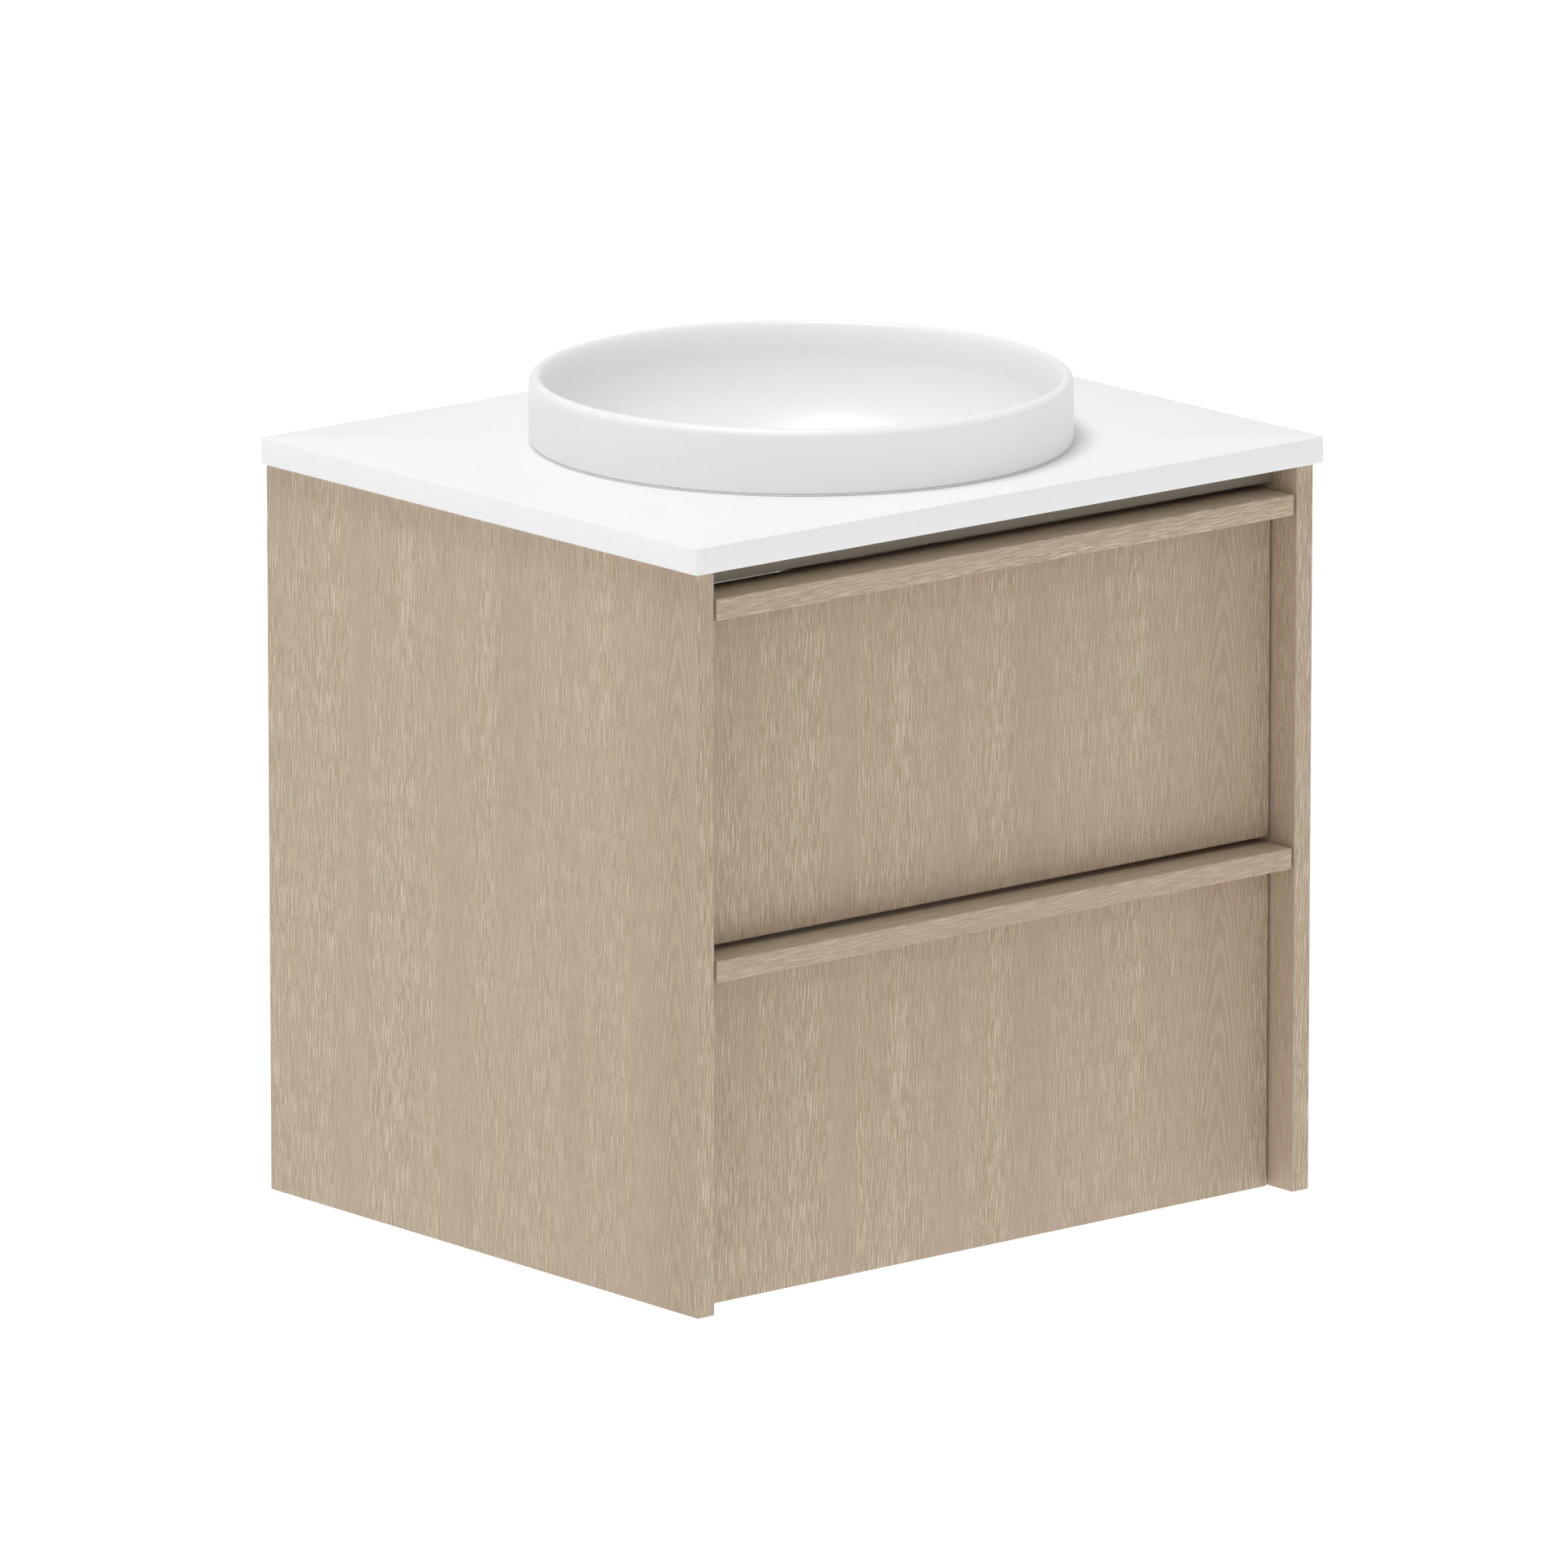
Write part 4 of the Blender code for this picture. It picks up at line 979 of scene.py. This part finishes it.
def turned_piece(name, section, finish, node, edge=0.0005, axis=UP, ripple=None, steps=None):
    """A turned piece on the basin's centre line or, towards the wall, on the outlet's."""
    profile = rounded_profile(np.array(section) * MM, edge, closed=section[0][0] > 0)
    centre = basin_centre() + (0.0, 0.0, OUTLET_LEVEL if axis == TOWARDS_WALL else 0.0)
    surface = turned_surface(profile, centre, steps or sizes().turn_steps, axis, ripple)
    piece(name, surface, finish, "cabinet", (node,), sharp=40.0)


def densely(section, first, last, count):
    """A section with the straight between two of its points divided."""
    t = np.linspace(0, 1, count)[1:-1, None]
    points = np.array(section)
    between = (1 - t) * points[first] + t * points[last]
    return np.vstack([points[: first + 1], between, points[last:]])


class VANITY_OT_waste(BuildOperator, bpy.types.Operator):
    """The threaded waste through the bowl, with its seal, washer, backnut and plug guide"""

    bl_idname = "vanity.waste"
    bl_label = "Waste"

    def execute(self, context):
        waste = rounded_profile(np.array(WASTE_SECTION) * MM, 0.0005)
        tail = np.nonzero(np.abs(waste[:, 0] - TAIL_RADIUS) < 1e-6)[0]
        waste = densely(waste, tail[-2], tail[-1], 8 * 36)
        surface = turned_surface(
            waste, basin_centre(), 64, ripple=thread(TAIL_RADIUS, *TAIL_THREAD)
        )
        piece("waste_tail", surface, "chrome", "cabinet", ("waste_body",), sharp=40.0)
        turned_piece("seal_ring", SEAL_SECTION, "rubber", "waste_seal")
        turned_piece("washer_ring", WASHER_SECTION, "rubber", "waste_washer", 0.0012)
        flats = hexagon(-0.0220, -0.0130, 0.0258)
        turned_piece(
            "backnut_hex", BACKNUT_SECTION, "chrome", "waste_backnut", ripple=flats, steps=192
        )
        keep_node("waste_guide", "plastic")
        return {"FINISHED"}


class VANITY_OT_plug(BuildOperator, bpy.types.Operator):
    """The domed plug and its stem"""

    bl_idname = "vanity.plug"
    bl_label = "Plug"

    def execute(self, context):
        turn = np.linspace(0, math.pi / 2, 13)
        dome = np.stack([30.0 * np.sin(turn), 9.3 + 3.0 * np.cos(turn)], axis=1)
        dome[0, 0] = 0.0
        under = [(30.0, 8.4), (29.4, 7.8), (4.0, 7.8), (4.0, -41.6), (3.4, -42.2), (0.0, -42.2)]
        profile = np.vstack([dome, under]) * MM
        surface = turned_surface(profile, basin_centre(), sizes().turn_steps)
        piece("plug_domed", surface, "chrome", "plug", ("waste_plug",), sharp=40.0)
        return {"FINISHED"}


# name, section, node, edge radius, axis, ripple, steps
TRAP_PIECES = (
    ("inlet_slip_nut", SLIP_NUT_SECTION, "trap_inlet_nut", 0.0012, UP,
     grooves(24, 0.0011, 0.0268), 288),
    ("inlet_pipe", INLET_SECTION, "trap_inlet_tube", 0.0004, UP),
    ("bottle_shell", BOTTLE_SECTION, "trap_body", 0.0016, UP),
    ("bottle_branch", BRANCH_SECTION, "trap_body", 0.0005, TOWARDS_WALL),
    ("bottle_cup", CUP_SECTION, "trap_cup", 0.0024, UP, grooves(20, 0.0009, 0.0313), 240),
    ("outlet_slip_nut", OUTLET_NUT_SECTION, "trap_outlet_nut", 0.0012, TOWARDS_WALL,
     grooves(24, 0.0011, 0.0253), 288),
    ("outlet_pipe", OUTLET_SECTION, "trap_outlet_tube", 0.0004, TOWARDS_WALL),
    ("wall_rosette", WALL_FLANGE_SECTION, "wall_flange", 0.0030, TOWARDS_WALL),
)


class VANITY_OT_trap(BuildOperator, bpy.types.Operator):
    """The bottle trap, its slip nuts and tubes, and the flange at the wall"""

    bl_idname = "vanity.trap"
    bl_label = "Trap"

    def execute(self, context):
        for name, section, *rest in TRAP_PIECES:
            turned_piece(name, section, "chrome", *rest)
        return {"FINISHED"}


# ---- Runners and clips ----
class VANITY_OT_runners(BuildOperator, bpy.types.Operator):
    """The folded steel runners: the part on the cabinet, the middle and the part on each drawer"""

    bl_idname = "vanity.runners"
    bl_label = "Runners"

    def execute(self, context):
        for deck, hand in CORNERS:
            for kind in ("fixed", "middle", "drawer"):
                make_runner(f"{deck}_runner_{kind}_{hand}")
        return {"FINISHED"}


def make_runner(node):
    """The folded section, its bends rounded, carried along the drawer's travel."""
    low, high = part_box(node)
    outline = rounded_profile(end_outline(node), sizes().sheet_bend, steps=4)
    x, z = outline.T
    points = np.concatenate(
        [np.column_stack([x, np.full(len(outline), y), z]) for y in (low.y, high.y)]
    )
    surface = points, outward(points, bar_faces(2, len(outline)))
    piece(f"{node}_folded", surface, "steel", body_of_node(node), (node,), sharp=50.0)


class VANITY_OT_clips(BuildOperator, bpy.types.Operator):
    """The plastic clips that hold each drawer to its runners, and their levers"""

    bl_idname = "vanity.clips"
    bl_label = "Clips"

    def execute(self, context):
        for deck, hand in CORNERS:
            keep_node(f"{deck}_lock_{hand}", "plastic")
            keep_node(f"{deck}_lock_lever_{hand}", "plastic")
        return {"FINISHED"}


# ---- Fasteners ----
def screw_surface():
    """A pan head with a six-sided socket."""
    radius = sizes().screw_head
    profile = [
        (0.0, 0.0006), (0.0014, 0.0006), (0.0015, 0.0017), (0.0024, 0.0018), (0.8 * radius, 0.0014),
        (0.97 * radius, 0.0008), (radius, 0.0002), (0.9 * radius, -0.0006), (0.0, -0.0006),
    ]
    return turned_surface(profile, (0, 0, 0), 24, ripple=hexagon(-1, 1, 0.00125))


def cap_surface():
    """A shallow cover cap: a flat disc with a rounded rim."""
    radius = sizes().cap_radius
    profile = [
        (0.0, 0.0009), (0.70 * radius, 0.0009), (0.90 * radius, 0.0007), (0.98 * radius, 0.0003),
        (radius, -0.0004), (0.0, -0.0004),
    ]
    return turned_surface(profile, (0, 0, 0), 32)


def scatter(name, surface, places, finish, body):
    """One object made of a small surface at several places, its +Z turned to each direction."""
    points, faces = surface
    moved, joined = [], []
    for number, (at, towards) in enumerate(places):
        turn = Vector((0, 0, 1)).rotation_difference(Vector(towards)).to_matrix()
        moved.append(points @ np.array(turn).T + np.asarray(at))
        joined += [[number * len(points) + i for i in face] for face in faces]
    piece(name, (np.concatenate(moved), joined), finish, body, sharp=30.0)


RUNNER_STEEL = 0.0015
WALL_SCREWS = (0.037, 0.133, 0.261)
WALL_SCREW_BACK = 0.024
WALL_SCREW_DROP = 0.010
FRONT_SCREWS = (-0.205, -0.125, 0.125, 0.205)
FRONT_SCREW_RISE = 0.035
FRONT_SCREW_DROP = 0.030
CAP_PLACES = (-0.070, -0.120)
CAP_LEVELS = (0.012, -0.250)


class VANITY_OT_fasteners(BuildOperator, bpy.types.Operator):
    """The screws of the runners and drawer fronts, and the caps over the carcass fixings"""

    bl_idname = "vanity.fasteners"
    bl_label = "Fasteners"

    def execute(self, context):
        wall_screws = []
        for deck in DECKS:
            low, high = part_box(f"{deck}_runner_fixed_right")
            reach, level = high.x - RUNNER_STEEL, high.z - WALL_SCREW_DROP
            for y in [low.y + place for place in WALL_SCREWS] + [high.y - WALL_SCREW_BACK]:
                wall_screws += [((side * reach, y, level), (-side, 0, 0)) for side in (-1, 1)]
            box_low, box_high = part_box(f"{deck}_box_front")
            levels = (box_low.z + FRONT_SCREW_RISE, box_high.z - FRONT_SCREW_DROP)
            places = [((x, box_high.y, z), (0, 1, 0)) for x in FRONT_SCREWS for z in levels]
            scatter(f"{deck}_front_screws", screw_surface(), places, "steel", f"{deck}_drawer")
        scatter("runner_screws", screw_surface(), wall_screws, "steel", "cabinet")
        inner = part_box("cabinet_side_right")[0].x
        caps = [
            ((side * inner, y, z), (-side, 0, 0))
            for y in CAP_PLACES
            for side in (-1, 1)
            for z in CAP_LEVELS
        ]
        scatter("carcass_caps", cap_surface(), caps, "white_board", "cabinet")
        return {"FINISHED"}


# ---- Stage ----
class VANITY_OT_stage(BuildOperator, bpy.types.Operator):
    """A pale floor, soft light and the camera"""

    bl_idname = "vanity.stage"
    bl_label = "Stage"

    def execute(self, context):
        make_floor()
        make_light()
        make_camera(context.scene)
        return {"FINISHED"}


def make_floor():
    """A wide pale disc below the vanity: rings about its middle, closed by one point."""
    low = CAD_BOUNDS[0][2] - FLOOR_DROP
    under = low - FLOOR_THICKNESS
    profile = [(0.0, low), (2.0, low), (FLOOR_RADIUS, low), (FLOOR_RADIUS, under), (0.0, under)]
    points, faces = turned_surface(profile, (0, -0.25, 0), 96)
    mesh = bpy.data.meshes.new("floor")
    mesh.from_pydata(points.tolist(), [], faces)
    pale = mottled("pale_floor", FLOOR_GREY, 0.7, 0.0, (8.0,) * 3, 0.004, 0.04, 0.05)
    shader = pale.node_tree.nodes["Principled BSDF"]
    shader.inputs["Emission Color"].default_value = (1.0, 1.0, 1.0, 1.0)
    shader.inputs["Emission Strength"].default_value = FLOOR_GLOW
    mesh.materials.append(pale)
    floor = linked("floor", mesh, "stage")


def make_light():
    world = bpy.data.worlds.new("studio")
    world.use_nodes = True
    background = world.node_tree.nodes["Background"]
    background.inputs["Color"].default_value = (1.0, 1.0, 1.0, 1.0)
    background.inputs["Strength"].default_value = WORLD_STRENGTH
    bpy.context.scene.world = world
    lamp = bpy.data.lights.new("key_light", "AREA")
    lamp.shape = "DISK"
    lamp.size = KEY_DIAMETER
    lamp.energy = KEY_WATTS
    holder = linked("key_light", lamp, "stage")
    holder.location = KEY_PLACE
    ahead = Vector(KEY_AIM) - Vector(KEY_PLACE)
    holder.rotation_euler = ahead.to_track_quat("-Z", "Y").to_euler()


def make_camera(scene):
    azimuth, elevation = math.radians(CAMERA_AZIMUTH), math.radians(CAMERA_ELEVATION)
    level = math.cos(elevation)
    back = Vector((math.sin(azimuth) * level, -math.cos(azimuth) * level, math.sin(elevation)))
    data = bpy.data.cameras.new("camera")
    data.sensor_width = SENSOR
    data.lens = LENS
    data.clip_end = 200.0
    camera = linked("camera", data, "stage")
    camera.location = Vector(CAMERA_TARGET) + CAMERA_DISTANCE * back
    camera.rotation_euler = back.to_track_quat("Z", "Y").to_euler()
    scene.camera = camera
    scene.view_settings.view_transform = "Standard"


# ---- Add-on ----
OPERATORS = (
    VANITY_OT_oak_boards,
    VANITY_OT_white_boards,
    VANITY_OT_slab_top,
    VANITY_OT_basin,
    VANITY_OT_waste,
    VANITY_OT_plug,
    VANITY_OT_trap,
    VANITY_OT_runners,
    VANITY_OT_clips,
    VANITY_OT_fasteners,
    VANITY_OT_stage,
)


class VANITY_PT_panel(bpy.types.Panel):
    """Lists the build steps, the sizes and the finishes"""

    bl_idname = "VANITY_PT_panel"
    bl_label = "Oak Vanity"
    bl_space_type = "VIEW_3D"
    bl_region_type = "UI"
    bl_category = "Vanity"

    def draw(self, context):
        layout = self.layout
        for operator in OPERATORS:
            layout.operator(operator.bl_idname)
        for group in (context.scene.vanity_sizes, context.scene.vanity_finishes):
            box = layout.box()
            for name in group.__annotations__:
                box.prop(group, name)


CLASSES = (VanitySizes, VanityFinishes, *OPERATORS, VANITY_PT_panel)


def register():
    for cls in CLASSES:
        bpy.utils.register_class(cls)
    bpy.types.Scene.vanity_sizes = bpy.props.PointerProperty(type=VanitySizes)
    bpy.types.Scene.vanity_finishes = bpy.props.PointerProperty(type=VanityFinishes)


def unregister():
    del bpy.types.Scene.vanity_finishes
    del bpy.types.Scene.vanity_sizes
    for cls in reversed(CLASSES):
        bpy.utils.unregister_class(cls)


def main():
    register()
    for operator in OPERATORS:
        family, name = operator.bl_idname.split(".")
        getattr(getattr(bpy.ops, family), name)()


if __name__ == "__main__":
    main()
